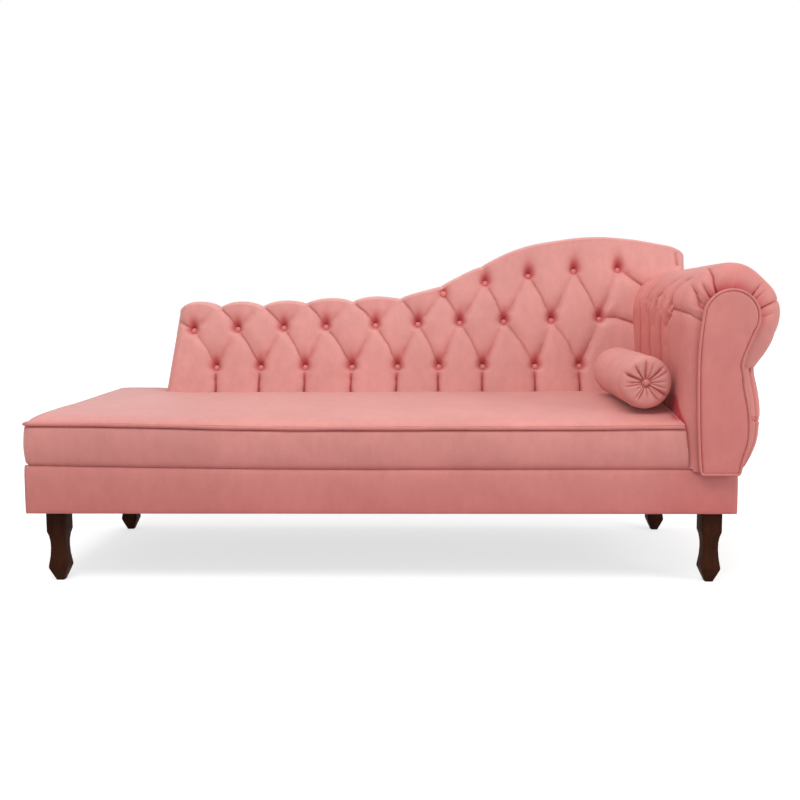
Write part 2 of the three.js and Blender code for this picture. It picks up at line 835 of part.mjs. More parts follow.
function linear(table, x) {
  let k = 0;
  while (k < table.length - 2 && x > table[k + 1][0]) k += 1;
  return mix(table[k][1], table[k + 1][1], (x - table[k][0]) / (table[k + 1][0] - table[k][0]));
}

function rowX(row, column) {
  return linear(rows[row], column);
}

// The crest rounds off at both ends
function crestOfColumn(column) {
  const nearLeft = clamp(1 - column, 0, 1);
  const nearRight = clamp(1 - (lastColumn - column), 0, 1);
  const rounding = nearLeft ** 2.5 + 0.5 * nearRight ** 2.5;
  return crestAt(rowX(2, column)) - backCornerDrop * rounding;
}

function rowHeight(row, column) {
  if (row === 0) return lowRowHeight;
  if (row === 1) return middleRowHeight + middleRowRise * clamp(column / lastMiddleColumn, 0, 1);
  const crest = crestOfColumn(column);
  const margin = backTopRadius * 1.5;
  const rise = backPeakHeight - backLowHeight;
  const drop = column < upperButtonsFrom ? 0 : linear(upperRowDropShares, column) * rise;
  return crest - Math.max(drop, margin);
}

// Depth of the surface behind the crown of the pillows. Rows count 1, 2 and 3 at the button rows.
function backDepthAt(column, row) {
  const nearButton = (step) => Math.abs(step - Math.round(step)) < 0.01;
  let pillow;
  let atButton = false;
  if (row <= 1) {
    pillow = Math.abs(Math.sin(Math.PI * column / 2));
    atButton = row === 1 && nearButton(column / 2);
  } else if (row <= 3) {
    const one = (column + row - 1) / 2;
    const other = (column - row + 1) / 2;
    pillow = Math.abs(Math.sin(Math.PI * one) * Math.sin(Math.PI * other));
    const real = row < 3 || column >= upperButtonsFrom;
    atButton = real && nearButton(one) && nearButton(other);
  } else {
    pillow = Math.abs(Math.sin(Math.PI * column / 2));
  }
  if (column <= 0.01 || column > 20.5) atButton = false;
  const fade = row > 3 ? clamp(1 - (row - 3) * 0.5, 0, 1) : 1;
  const pleats = pleatDepth * (1 - pillow ** 0.6) * fade;
  return atButton ? tuftDepth : pleats;
}

function facePoint(x, z, depth) {
  return new THREE.Vector3(
    x,
    backFaceAt(z) + depth * Math.cos(backRake),
    z - depth * Math.sin(backRake),
  );
}

const backBottom = upholsteryBottom;
const boardDepthAt = (z) => backFaceAt(z) + backPadThickness;
const columnSplit = 3;

// The padding wraps round both ends of the board as far as the rear
const endWrap = 1.5 / columnSplit;
const wrappedColumns = 2 / columnSplit;

function backRing(column) {
  const crest = crestOfColumn(column);
  const scallop = column < upperButtonsFrom + 2.5 ? scallopDepth : 0;
  const dip = scallop * (1 - Math.abs(Math.sin(Math.PI * column / 2)) ** 0.6);
  const top = crest - dip;
  const nearLeft = clamp(1 - column * 1.5, 0, 1);
  const nearRight = clamp(1 - (lastColumn - column) * 1.5, 0, 1);
  const endDepth = backEndRounding * (nearLeft ** 2 + nearRight ** 2);
  const ring = [];
  const front = (x, z, row) => {
    const depth = backDepthAt(column, row) + endDepth;
    ring.push(facePoint(x, z, depth));
  };
  const lowX = column === 0 ? backLeft : rowX(0, column);
  const rear = rearFace - fit;
  const wraps = column < endWrap || column > lastColumn - endWrap;
  ring.push(new THREE.Vector3(lowX, wraps ? rear : boardDepthAt(backBottom) - fit, backBottom));
  ring.push(new THREE.Vector3(lowX, backFaceAt(backBottom) + endDepth, backBottom));
  ring.push(facePoint(lowX, backFaceHeight, backDepthAt(column, 0.3) + endDepth));
  front(rowX(0, column), mix(backFaceHeight, lowRowHeight, 0.55), 0.7);
  for (let step = 0; step <= 2 * columnSplit; step += 1) {
    const row = Math.min(Math.floor(step / columnSplit), 1);
    const share = step / columnSplit - row;
    const x = mix(rowX(row, column), rowX(row + 1, column), share);
    const z = mix(rowHeight(row, column), rowHeight(row + 1, column), share);
    front(x, z, 1 + row + share);
  }
  const topX = rowX(2, column);
  const shoulder = top - backTopRadius;
  const edge = facePoint(topX, shoulder, backDepthAt(column, 4) * 0.5 + endDepth);
  ring.push(edge);
  ring.push(new THREE.Vector3(topX, mix(edge.y, rear, 0.12), mix(edge.z, top, 0.7)));
  ring.push(new THREE.Vector3(topX, mix(edge.y, rear, 0.42), top));
  ring.push(new THREE.Vector3(topX, rear, top - backTopRadius * 0.3));
  const under = crest - backTopRadius * 1.3;
  ring.push(new THREE.Vector3(topX, rear, under));
  if (wraps) ring.push(new THREE.Vector3(topX, rear, under - backTopRadius / 2));
  else ring.push(new THREE.Vector3(topX, boardDepthAt(under) - fit, under));
  return ring;
}

// Space that the arm takes from the back and its board
function armSpace(clear) {
  const outline = insetOutline(armEdge, -clear).map(([x, z], i, all) => (
    i === 0 || i === all.length - 1 ? [x, 0] : [x, z]
  ));
  return toSolid(alongY(outline, 0, baseDepth + overrun));
}

function backPad() {
  const rings = [];
  for (let k = 0; k <= lastColumn * columnSplit; k += 1) rings.push(backRing(k / columnSplit));
  const firstTuftRow = 4;
  const turnCell = (k, i) => {
    const column = Math.floor(k / columnSplit);
    const row = Math.floor((i - firstTuftRow) / columnSplit);
    const inTufts = i >= firstTuftRow && i < firstTuftRow + 2 * columnSplit;
    return inTufts && (column + row) % 2 !== 0;
  };
  const body = toSolid(loft(rings, (point) => new THREE.Vector2(point.y, point.z), turnCell));
  return body.subtract(armSpace(softFit));
}

const backPadding = backPad();
add('back_pad', toGeometry(backPadding), fabric);

// Raked board behind the padding, with the crest sawn on its top edge

function crestLine(drop, left, right, spans) {
  const points = [];
  for (let i = 0; i <= spans; i += 1) {
    const x = mix(left, right, i / spans);
    points.push([x, crestAt(x) - drop]);
  }
  return points;
}

function raked(geometry) {
  const lean = new THREE.Matrix4().makeShear(0, 0, 0, 0, 0, Math.tan(backRake));
  geometry.applyMatrix4(lean);
  geometry.translate(0, boardDepthAt(0), 0);
  return geometry;
}

function backBoard() {
  const left = rowX(2, wrappedColumns) + softFit;
  const right = rowX(2, lastColumn - wrappedColumns) - softFit;
  const crest = crestLine(backBoardDrop, left, right, 36).reverse();
  const outline = [[rowX(0, wrappedColumns) + softFit, backBottom], [right, backBottom], ...crest];
  const board = toSolid(raked(alongY(outline, 0, backBoardThickness)));
  return board.subtract(armSpace(softFit));
}

add('back_board', toGeometry(backBoard()), plywood);

// Webbing: straps across the rails, fixed to two long straps where they cross. The first lies to the left of
// the back, and the rest begin past the back's left post.

const firstPostX = rowX(2, wrappedColumns) + softFit + backPostWidth / 2;

function crossStrapX(i) {
  if (i < 1) return backLeft - strapWidth * 0.6;
  const start = firstPostX + backPostWidth / 2 + strapWidth;
  return mix(start, armInner - strapWidth * 1.1, (i - 1) / (crossStraps - 2));
}

function webbing() {
  const low = frameTop + fit;
  const strap = (from, to) => toSolid(box([from[0], from[1], low], [to[0], to[1], deckTop]));
  const straps = [];
  const start = innerSide + strapEndMargin;
  for (let i = 0; i < crossStraps; i += 1) {
    const x = crossStrapX(i);
    straps.push(strap([x - strapWidth / 2, start], [x + strapWidth / 2, rearFace - strapEndMargin]));
  }
  for (let i = 0; i < longStraps; i += 1) {
    const y = mix(0, backFaceDepth, (i + 1) / (longStraps + 1));
    straps.push(strap([start, y - strapWidth / 2], [baseLength - start, y + strapWidth / 2]));
  }
  return straps.reduce((joined, next) => joined.add(next));
}

add('webbing', toGeometry(webbing()), webbingCloth);

// Wedge posts between the board and the rear cover, standing on the rear rail between two straps

const boardRearAt = (z) => boardDepthAt(z) + backBoardThickness + fit;
const postPlaces = [['left', firstPostX], ['middle', crossStrapX(4.5)], ['right', crossStrapX(6.5)]];
for (const [name, x] of postPlaces) {
  const bottom = frameTop + fit;
  const crest = Math.min(crestAt(x - backPostWidth), crestAt(x + backPostWidth));
  const top = crest - backTopRadius * 1.5 - backCornerDrop;
  const rear = rearFace - fit;
  const outline = [
    [boardRearAt(bottom), bottom],
    [rear, bottom],
    [rear, top],
    [boardRearAt(top), top],
  ];
  add(`back_post_${name}`, alongX(outline, x - backPostWidth / 2, x + backPostWidth / 2), softwood);
}

// Rear cover: one panel over the rear of the base, the back and the arm

function rearCover() {
  const margin = armRearRounding * 2;
  const left = leftEdgeAt(backLowHeight) + margin;
  const crest = crestLine(backTopRadius * 0.5, left + margin, backRight - margin, 36).reverse();
  const outline = [
    [0, baseBottom],
    [baseLength, baseBottom],
    [baseLength, deckTop],
    [backRight - margin, deckTop],
    ...crest,
    [left, backLowHeight - backCornerDrop],
    [backLeft + fit, backFaceHeight],
    [backLeft + fit, deckTop],
    [0, deckTop],
  ];
  const arm = insetOutline(armEdge, margin).map(([x, z]) => [x, Math.max(z, deckTop - fit)]);
  const front = baseDepth - rearCoverThickness;
  return toSolid(alongY(outline, front, baseDepth)).add(toSolid(alongY(arm, front, baseDepth)));
}

add('rear_cover', toGeometry(rearCover()), fabric);

// Covered buttons, flat behind and domed in front

function buttonGeometry() {
  const profile = [
    [0, 0],
    [buttonRadius * 0.9, 0],
    [buttonRadius, buttonHeight * 0.3],
    [buttonRadius * 0.7, buttonHeight * 0.8],
    [0, buttonHeight],
  ].map(([across, up]) => new THREE.Vector2(across, up));
  return closed(new THREE.LatheGeometry(profile, 10));
}

// A button sits as deep in its tuft as the padding lets it
function addButton(name, place, facingDirection, padding) {
  const button = add(name, buttonGeometry(), fabric);
  button.quaternion.setFromUnitVectors(new THREE.Vector3(0, 1, 0), facingDirection);
  button.position.copy(place);
  for (let step = 0; step < tuftDepth / fit; step += 1) {
    button.updateMatrix();
    const tried = toSolid(button.geometry.clone().applyMatrix4(button.matrix));
    const meets = tried.intersect(padding).volume() > 0;
    button.position.addScaledVector(facingDirection, fit);
    if (!meets) break;
  }
}

const backFacing = new THREE.Vector3(0, -Math.cos(backRake), Math.sin(backRake));
const buttonRows = [
  { name: 'low', row: 0, first: 2, count: lowRowShares.length },
  { name: 'middle', row: 1, first: 1, count: middleRowShares.length },
  { name: 'upper', row: 2, first: upperButtonsFrom, count: 5 },
];
for (const { name, row, first, count } of buttonRows) {
  for (let i = 0; i < count; i += 1) {
    const column = first + 2 * i;
    const place = facePoint(rowX(row, column), rowHeight(row, column), tuftDepth);
    addButton(`back_button_${name}_${i + 1}`, place, backFacing, backPadding);
  }
}

armButtonPlaces.forEach((y, i) => {
  const facingDirection = new THREE.Vector3(Math.cos(rollStart), 0, Math.sin(rollStart));
  const seat = rollRadius - armTuftDepth;
  const place = new THREE.Vector3(rollX, y, rollZ).addScaledVector(facingDirection, seat);
  addButton(`arm_button_${i + 1}`, place, facingDirection, armPadding);
});

// Bolster: a stuffed roll with gathered ends drawn in to a button

// Profile of an end: [distance from the axis, distance in from the end]
const bolsterEndShares = [
  [0, -0.02], [0.1, -0.01], [0.14, 0.03], [0.2, 0.1], [0.4, 0.02], [0.66, 0], [0.88, 0.08], [1, 0.34],
];

function bolsterGeometry() {
  const front = bolsterEndShares.map(([across, along]) => [across * bolsterRadius, along * bolsterRadius]);
  const rear = front.map(([across, along]) => [across, bolsterLength - along]).reverse();
  const profile = [...front, [bolsterRadius, bolsterLength / 2], ...rear]
    .map(([across, along]) => new THREE.Vector2(across, along));
  const geometry = closed(new THREE.LatheGeometry(profile, bolsterGathers * 2));
  const place = geometry.getAttribute('position');
  for (let i = 0; i < place.count; i += 1) {
    const across = Math.hypot(place.getX(i), place.getZ(i)) / bolsterRadius;
    if (across > 0.17 && across < 0.95) {
      const wave = Math.cos(bolsterGathers * Math.atan2(place.getZ(i), place.getX(i)));
      const inwards = place.getY(i) < bolsterLength / 2 ? 1 : -1;
      place.setY(i, place.getY(i) + inwards * gatherDepth * (1 - wave) / 2);
    }
  }
  geometry.computeVertexNormals();
  return geometry;
}

// It lies beside the arm on the crown of the seat, as low as the seat lets it
const bolsterX = armInner - bolsterArmGap - bolsterRadius;
let bolsterLift = 0;
for (let along = 0; along <= bolsterLength; along += bolsterLength / 40) {
  const y = bolsterFront + along;
  bolsterLift = Math.max(bolsterLift, seatTopAt(bolsterX, y) - along * Math.tan(bolsterSlope));
}
const bolster = add('bolster', bolsterGeometry(), fabric);
bolster.position.set(bolsterX, bolsterFront, bolsterLift + (bolsterRadius + fit) / Math.cos(bolsterSlope));
bolster.rotation.x = bolsterSlope;

// The origin is the middle of the footprint, on the floor
const extent = new THREE.Box3().setFromObject(couch);
const centre = extent.getCenter(new THREE.Vector3());
couch.position.set(-centre.x, -centre.y, 0);

export default couch;
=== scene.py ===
import math

import bmesh
import bpy
import numpy as np
from mathutils import Matrix, Vector


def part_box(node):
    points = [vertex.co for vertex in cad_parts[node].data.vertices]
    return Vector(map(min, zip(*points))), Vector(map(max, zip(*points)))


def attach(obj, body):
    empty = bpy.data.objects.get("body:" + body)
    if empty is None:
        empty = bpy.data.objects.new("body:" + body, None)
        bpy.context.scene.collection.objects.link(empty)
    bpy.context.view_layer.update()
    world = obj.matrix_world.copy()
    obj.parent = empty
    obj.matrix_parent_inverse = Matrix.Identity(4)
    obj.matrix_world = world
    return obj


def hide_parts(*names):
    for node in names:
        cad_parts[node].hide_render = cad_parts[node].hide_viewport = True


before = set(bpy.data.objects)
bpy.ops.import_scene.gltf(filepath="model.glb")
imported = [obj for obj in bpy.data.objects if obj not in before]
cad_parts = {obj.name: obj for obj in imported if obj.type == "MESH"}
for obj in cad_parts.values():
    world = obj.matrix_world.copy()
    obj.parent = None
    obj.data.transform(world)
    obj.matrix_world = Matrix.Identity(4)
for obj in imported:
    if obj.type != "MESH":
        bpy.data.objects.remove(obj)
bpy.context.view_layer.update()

# Places are worked out in millimetres from the base's front left corner on the floor, as in the CAD model,
# and moved into the frame when a mesh is made.
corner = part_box("base_cover_front")[0]
ORIGIN = np.array([corner.x, corner.y, 0.0])
MILLIMETRES = 1000

BASE_LENGTH = 1800.0
BASE_DEPTH = 700.0
BASE_BOTTOM = 185.0
DECK_TOP = 298.1
SOFT_BOTTOM = 298.4
REAR_FACE = 693.7
SEAT_HEIGHT = 414.25
ARM_INNER = 1658.0
ROLL_X, ROLL_Z, ROLL_RADIUS = 1780.5, 688.5, 122.5
BACK_LEFT, BACK_RIGHT = 216.0, 1823.5
BACK_LOW, BACK_PEAK = 731.0, 924.0
FACE_Y, FACE_Z = 530.0, 445.0
RAKE = math.radians(12.0)
LEAN = math.radians(8.2)
FRONT_OF_ARM, FRONT_ROUND, REAR_ROUND = -4.0, 46.0, 8.0
TOP_RADIUS = 13.0
BUTTON_RISE = 7.0
# how far the bodies that cut a piece reach
FAR_BELOW, FAR_RIGHT, FAR_BEHIND = 100.0, ARM_INNER + 700, 780.0


# Small maths helpers

def mix(low, high, share):
    return low + (high - low) * share


def smooth(edge0, edge1, x):
    t = np.clip((x - edge0) / (edge1 - edge0), 0, 1)
    return t * t * (3 - 2 * t)


def read_table(table, x):
    """Smooth value at x on a table of (x, value) pairs."""
    xs, ys = np.array(table, float).T
    n = len(xs)
    below = np.maximum(np.arange(n) - 1, 0)
    above = np.minimum(np.arange(n) + 1, n - 1)
    slope = (ys[above] - ys[below]) / (xs[above] - xs[below])
    x = np.clip(np.asarray(x, float), xs[0], xs[-1])
    k = np.clip(np.searchsorted(xs, x, side="right") - 1, 0, n - 2)
    span = xs[k + 1] - xs[k]
    t = (x - xs[k]) / span
    rise = t * t * (3 - 2 * t)
    leave = t * (1 - t) ** 2 * span
    arrive = t * t * (t - 1) * span
    return mix(ys[k], ys[k + 1], rise) + leave * slope[k] + arrive * slope[k + 1]


def linear(table, x):
    xs, ys = np.array(table, float).T
    return np.interp(x, xs, ys)


def spread_out(values, share):
    """Value at a share of the way along values that are evenly spaced."""
    return np.interp(share, np.linspace(0, 1, len(values)), values)


def ripple(a, b, size, seed):
    """Gentle unevenness over two coordinates, mostly between -1 and 1 and the same on every run."""
    rng = np.random.default_rng(seed)
    total = np.zeros(np.broadcast(a, b).shape)
    waves = 7
    for _ in range(waves):
        angle = rng.uniform(0, math.tau)
        reach = size * rng.uniform(0.6, 1.7)
        along = a * math.cos(angle) + b * math.sin(angle)
        total += np.sin(along * math.tau / reach + rng.uniform(0, math.tau))
    return total / math.sqrt(waves) / 1.6


def to_segment(a, b, start, end):
    """Distance of points (a, b) from a segment and the share along it."""
    da, db = end[0] - start[0], end[1] - start[1]
    t = np.clip(((a - start[0]) * da + (b - start[1]) * db) / (da * da + db * db), 0, 1)
    return np.hypot(a - start[0] - t * da, b - start[1] - t * db), t


def passed_at(path):
    """Length passed at each point of a path."""
    return np.r_[0, np.cumsum(np.linalg.norm(np.diff(path, axis=0), axis=1))]


class Tufting:
    """Depth field of a buttoned pad: soft valleys, sharp fold lines and button hollows in two coordinates."""

    def __init__(self):
        self.folds = []
        self.hollows = []

    def fold(self, points, valley, reach, line=(0, 0), width=2.0, painted_shade=0.05, valley_shade=0.0, peak=1.25):
        """A crease through points. valley and line are depths along it. ink and blush are the painted shade
        for each millimetre of line and of valley. The lower the peak, the sharper the valley."""
        self.folds.append((points, valley, reach, line, width, painted_shade, valley_shade, peak))

    def hollow(self, place, depth, across=10, up=1.7, down=0.85, painted_shade=1.0):
        self.hollows.append((place, depth, across, up, down, painted_shade))

    def depth(self, a, b):
        """Depth, how far a point lies from every crease as 0 to 1, and its painted shade."""
        power = 4
        total = np.zeros(a.shape)
        lines = np.zeros(a.shape)
        dark = np.zeros(a.shape)
        shifted = a + ripple(a, b, 60, 5)
        raised = b + ripple(a, b, 70, 6)
        nearest = np.full(a.shape, 1e3)
        for points, valley, reach, line, width, painted_shade, valley_shade, peak in self.folds:
            passed = passed_at(points)
            for i in range(len(points) - 1):
                away, t = to_segment(shifted, raised, points[i], points[i + 1])
                share = mix(passed[i], passed[i + 1], t) / passed[-1]
                deep = spread_out(valley, share)
                nearest = np.minimum(nearest, away + 12 * (1 - deep / max(valley)))
                total += (deep * np.exp(-(away / reach) ** peak)) ** power
                sharp = spread_out(line, share) * np.exp(-(away / width) ** 2)
                lines = np.maximum(lines, sharp)
                # painted shade along the crease's line and in its valley
                dark = np.maximum(dark, np.maximum(sharp * painted_shade, deep * valley_shade * np.exp(-(away / 10) ** 2)))
        cover = np.zeros(a.shape)
        for (x, y), depth, across, up, down, painted_shade in self.hollows:
            stretch = np.where(b > y, up, down)
            away = np.hypot(a - x, (b - y) / stretch)
            soft = depth * np.exp(-(np.maximum(away - 6.0, 0) / across) ** 1.3)
            total += soft ** power
            cover = np.maximum(cover, np.exp(-(np.hypot(a - x, b - y) / 12) ** 4))
            # painted shadow above each button, where the pad above would overhang its hollow
            rise = (b - y - 3) / np.where(b > y + 3, 30, 12)
            shadow = painted_shade * np.exp(-np.hypot((a - x) / 14, rise) ** 1.5)
            dark = np.maximum(dark * (1 - 0.3 * (shadow > 0.1)), shadow)
        lines = lines * (1 - cover)
        return total ** (1 / power) + lines, 1 - np.exp(-nearest / 26), dark


# Mesh helpers

def grid_faces(rows, columns, closed=False, offset=0):
    """Quads between rows of equal point counts, the rows closed into rings if asked."""
    i = np.arange(rows - 1)[:, None]
    j = np.arange(columns if closed else columns - 1)[None, :]
    k = (j + 1) % columns
    quads = np.stack([i * columns + j, i * columns + k, (i + 1) * columns + k, (i + 1) * columns + j], -1)
    return (quads.reshape(-1, 4) + offset).tolist()


def ladder(ring):
    """Fills a ring of point numbers, its first and last points being neighbours at one end."""
    low, high = 0, len(ring) - 1
    faces = []
    while high - low > 1:
        if high - low == 2:
            faces.append([ring[low], ring[low + 1], ring[high]])
        else:
            faces.append([ring[low], ring[low + 1], ring[high - 1], ring[high]])
        low, high = low + 1, high - 1
    return faces


def lofted(rings):
    """Points and faces of a closed body through rings of points, its ends filled with quads."""
    rings = np.array(rings)
    rows, count = rings.shape[:2]
    first = list(range(count))
    last = [(rows - 1) * count + i for i in first]
    faces = [face[::-1] for face in ladder(first)] + ladder(last)
    return rings.reshape(-1, 3), grid_faces(rows, count, closed=True) + faces


def mesh_of(name, points, faces, shade=()):
    """A mesh from points in millimetres in the CAD model's own axes, its faces turned outwards."""
    mesh = bpy.data.meshes.new(name)
    mesh.from_pydata((np.asarray(points, float) / MILLIMETRES + ORIGIN).tolist(), [], faces)
    mesh.validate()
    # shade is painted shade, kept as the hollow attribute
    if len(shade):
        layer = mesh.attributes.new("hollow", "FLOAT", "POINT")
        layer.data.foreach_set("value", np.asarray(shade, np.float32).ravel())
    bm = bmesh.new()
    bm.from_mesh(mesh)
    bmesh.ops.remove_doubles(bm, verts=bm.verts, dist=1e-6)
    bmesh.ops.recalc_face_normals(bm, faces=bm.faces)
    bm.to_mesh(mesh)
    bm.free()
    return mesh


def linked(name, data):
    obj = bpy.data.objects.new(name, data)
    bpy.context.scene.collection.objects.link(obj)
    return obj


def piece(name, points, faces, material, slot="upholstery", body="couch", instead=None, fill=None, shade=(),
          flat=False):
    """A visible piece. instead names its CAD node, fill is not used and shade darkens its points."""
    mesh = mesh_of(name, points, faces, shade)
    mesh.polygons.foreach_set("use_smooth", [not flat] * len(mesh.polygons))
    mesh.materials.append(material)
    obj = linked(name, mesh)
    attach(obj, body)
    if instead:
        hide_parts(instead)
    return obj


def middle_of(node):
    """The middle of a CAD node's box, in millimetres."""
    low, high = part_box(node)
    return (np.array((low + high) / 2) - ORIGIN) * MILLIMETRES


def cut(obj, points, faces):
    """Takes a closed body away from a piece."""
    cutter = linked("cutter", mesh_of("cutter", points, faces))
    modifier = obj.modifiers.new("cut", "BOOLEAN")
    modifier.operation = "DIFFERENCE"
    modifier.solver = "EXACT"
    modifier.object = cutter
    depsgraph = bpy.context.evaluated_depsgraph_get()
    mesh = bpy.data.meshes.new_from_object(obj.evaluated_get(depsgraph))
    obj.modifiers.clear()
    obj.data = mesh
    bpy.data.objects.remove(cutter)


def capped(rings):
    """Points and faces of a closed body through rings of points, with one face over each end."""
    rings = np.array(rings)
    rows, count = rings.shape[:2]
    last = (rows - 1) * count
    faces = grid_faces(rows, count, closed=True) + [list(range(count))[::-1], list(range(last, last + count))]
    return rings.reshape(-1, 3), faces


def slab(front, back, faces):
    """Points and faces of two like sheets joined along their border."""
    count = len(front)
    sides = dict.fromkeys((a, b) for face in faces for a, b in zip(face, face[1:] + face[:1]))
    walls = [[b, a, a + count, b + count] for a, b in sides if (b, a) not in sides]
    return np.vstack([front, back]), faces + [[v + count for v in face[::-1]] for face in faces] + walls


def prism(section, near, far):
    """Points and faces of (x, z) pairs pulled along y, its ends listed first."""
    n = len(section)
    points = [(x, y, z) for y in (near, far) for x, z in section]
    faces = [list(range(n))[::-1], list(range(n, 2 * n))]
    return points, faces + [[i, (i + 1) % n, n + (i + 1) % n, n + i] for i in range(n)]


def tube_points(path, radius, sides=16, closed=False):
    """Rings of a round tube along a path."""
    path = np.asarray(path, float)
    if closed:
        tangent = np.roll(path, -1, 0) - np.roll(path, 1, 0)
    else:
        tangent = np.gradient(path, axis=0)
    tangent /= np.linalg.norm(tangent, axis=1)[:, None]
    side = np.cross(tangent, (0.13, 0.21, 1.0))
    side /= np.linalg.norm(side, axis=1)[:, None]
    other = np.cross(tangent, side)
    angle = np.arange(sides) / sides * math.tau
    return (path[:, None] + radius * (np.cos(angle)[None, :, None] * side[:, None]
                                      + np.sin(angle)[None, :, None] * other[:, None]))


def read_off(wanted, known, points):
    """Points read off at the wanted values, the given points having the known ones."""
    return np.stack([np.interp(wanted, known, points[:, i]) for i in range(points.shape[1])], -1)


def evenly(path, count):
    """The path again with count points, evenly spaced along it."""
    passed = passed_at(path)
    return read_off(np.linspace(0, passed[-1], count), passed, path)


def resample(path, step):
    path = np.asarray(path, float)
    count = max(int(round(passed_at(path)[-1] / step)), 2)
    return evenly(path, count + 1)


def on_circle(x, z, radius, degrees):
    """Points on a circle, at angles counted from its right side."""
    angle = np.radians(degrees)
    return np.stack([x + np.cos(angle) * radius, z + np.sin(angle) * radius], -1)


# Materials

def srgb(r, g, b):
    def channel(value):
        value /= 255
        return value / 12.92 if value <= 0.04045 else ((value + 0.055) / 1.055) ** 2.4
    return (channel(r), channel(g), channel(b), 1.0)


def grey(level):
    return (level, level, level, 1)


class Nodes:
    """A node tree with short calls. The value of an input is a number, a colour or another node's output."""

    def __init__(self, owner):
        owner.use_nodes = True
        self.owner = owner
        self.tree = owner.node_tree

    def put(self, node, inputs):
        """Gives a node's inputs, named or numbered, their values."""
        for key, value in inputs.items():
            if isinstance(value, bpy.types.NodeSocket):
                self.tree.links.new(value, node.inputs[key])
            else:
                node.inputs[key].default_value = value
        return node

    def new(self, kind, inputs=(), **values):
        node = self.tree.nodes.new("ShaderNode" + kind)
        for key, value in values.items():
            setattr(node, key, value)
        return self.put(node, dict(inputs))

    def ramp(self, source, *stops):
        node = self.new("ValToRGB", {"Fac": source})
        for element, (place, colour) in zip(node.color_ramp.elements, stops):
            element.position = place
            element.color = colour
        for place, colour in stops[2:]:
            node.color_ramp.elements.new(place).color = colour
        return node.outputs["Color"]

    def multiply(self, share, one, other):
        return self.blend(share, one, other, "MULTIPLY")

    def blend(self, share, one, other, kind="MIX"):
        return self.new("Mix", {0: share, 6: one, 7: other}, data_type="RGBA", blend_type=kind).outputs[2]

    def maths(self, operation, *values):
        return self.new("Math", enumerate(values), operation=operation).outputs[0]

    def seen(self):
        """1 for rays from the camera or from a glossy face, otherwise 0."""
        rays = self.new("LightPath").outputs
        return self.maths("MAXIMUM", rays["Is Camera Ray"], rays["Is Glossy Ray"])


class Surface(Nodes):
    """A new material, its patterns laid over the object's own places."""

    def __init__(self, name):
        super().__init__(bpy.data.materials.new(name))
        self.shader = self.tree.nodes["Principled BSDF"]
        self.place = self.new("TexCoord").outputs["Object"]

    def stretched(self, scale):
        return self.new("Mapping", {"Scale": scale, "Vector": self.place}).outputs["Vector"]

    def noise(self, scale, detail=3.0, roughness=0.55, vector=None):
        inputs = {"Scale": scale, "Detail": detail, "Roughness": roughness, "Vector": vector or self.place}
        return self.new("TexNoise", inputs).outputs["Fac"]

    def bands(self, direction, scale, distortion=0.0):
        inputs = {"Scale": scale, "Distortion": distortion, "Vector": self.place}
        return self.new("TexWave", inputs, wave_type="BANDS", bands_direction=direction).outputs["Fac"]

    def bump(self, *layers):
        """Surface normal from layers of (height, strength, distance)."""
        below = {}
        for height, strength, distance in layers:
            inputs = {"Height": height, "Strength": strength, "Distance": distance, **below}
            below = {"Normal": self.new("Bump", inputs).outputs["Normal"]}
        return below["Normal"]

    def finish(self, **settings):
        """Sets the shader, spaces in the names of its inputs written as underscores."""
        self.put(self.shader, {name.replace("_", " "): value for name, value in settings.items()})
        return self.owner


def suede(name, tint, sheen=0.12):
    """Brushed suede-like upholstery cloth: nap, mottling, a fine weave underneath and painted shade in its
    hollows.
    """
    n = Surface(name)
    patches = n.noise(5.0, 4.0, 0.6)
    strokes = n.noise(38.0, 3.0, 0.6, n.stretched((1.0, 1.0, 0.45)))
    nap = n.noise(420.0, 2.0, 0.7)
    light = tuple(min(1.0, c * 1.06 + 0.008) for c in tint[:3]) + (1.0,)
    dark = tuple(c * 0.94 for c in tint[:3]) + (1.0,)
    colour = n.ramp(patches, (0.3, dark), (0.5, tint), (0.72, light))
    colour = n.multiply(0.7, colour, n.ramp(strokes, (0.3, (0.93, 0.92, 0.92, 1)), (0.7, grey(1.06))))
    colour = n.multiply(0.4, colour, n.ramp(nap, (0.3, (0.9, 0.88, 0.88, 1)), (0.7, grey(1.08))))
    # the hollow attribute is painted shade: it blends the cloth towards a deep coral in creases, hollows and
    # gaps
    hollow = n.new("Attribute", attribute_name="hollow").outputs["Fac"]
    normal = n.bump((n.noise(26.0, 4.0, 0.6), 0.25, 0.003), (nap, 0.35, 0.0006),
                    (n.bands("DIAGONAL", 520.0, 1.5), 0.12, 0.0003))
    return n.finish(Base_Color=n.blend(hollow, colour, CORAL_PAINTED_SHADE), Normal=normal,
                    Roughness=n.maths("MULTIPLY_ADD", nap, 0.12, 0.5), Specular_IOR_Level=0.55,
                    Sheen_Weight=sheen, Sheen_Roughness=0.42, Sheen_Tint=(1.0, 0.86, 0.84, 1.0))


def timber(name, light, dark, grain, roughness, gloss=0.4, long_axis=0):
    """Wood with long grain, pores and a little unevenness in its finish."""
    n = Surface(name)
    scale = [grain] * 3
    scale[long_axis] = grain * 0.07
    streaks = n.noise(1.0, 5.0, 0.65, n.stretched(scale))
    fine = n.noise(7.0, 3.0, 0.6, n.stretched(scale))
    pores = n.ramp(fine, (0.32, (0.7, 0.68, 0.66, 1)), (0.5, grey(1)))
    colour = n.multiply(0.8, n.ramp(streaks, (0.3, dark), (0.7, light)), pores)
    return n.finish(Base_Color=colour, Roughness=n.maths("MULTIPLY_ADD", streaks, 0.16, roughness - 0.08),
                    Normal=n.bump((fine, 0.2, 0.0005), (streaks, 0.15, 0.0006)), Specular_IOR_Level=gloss)


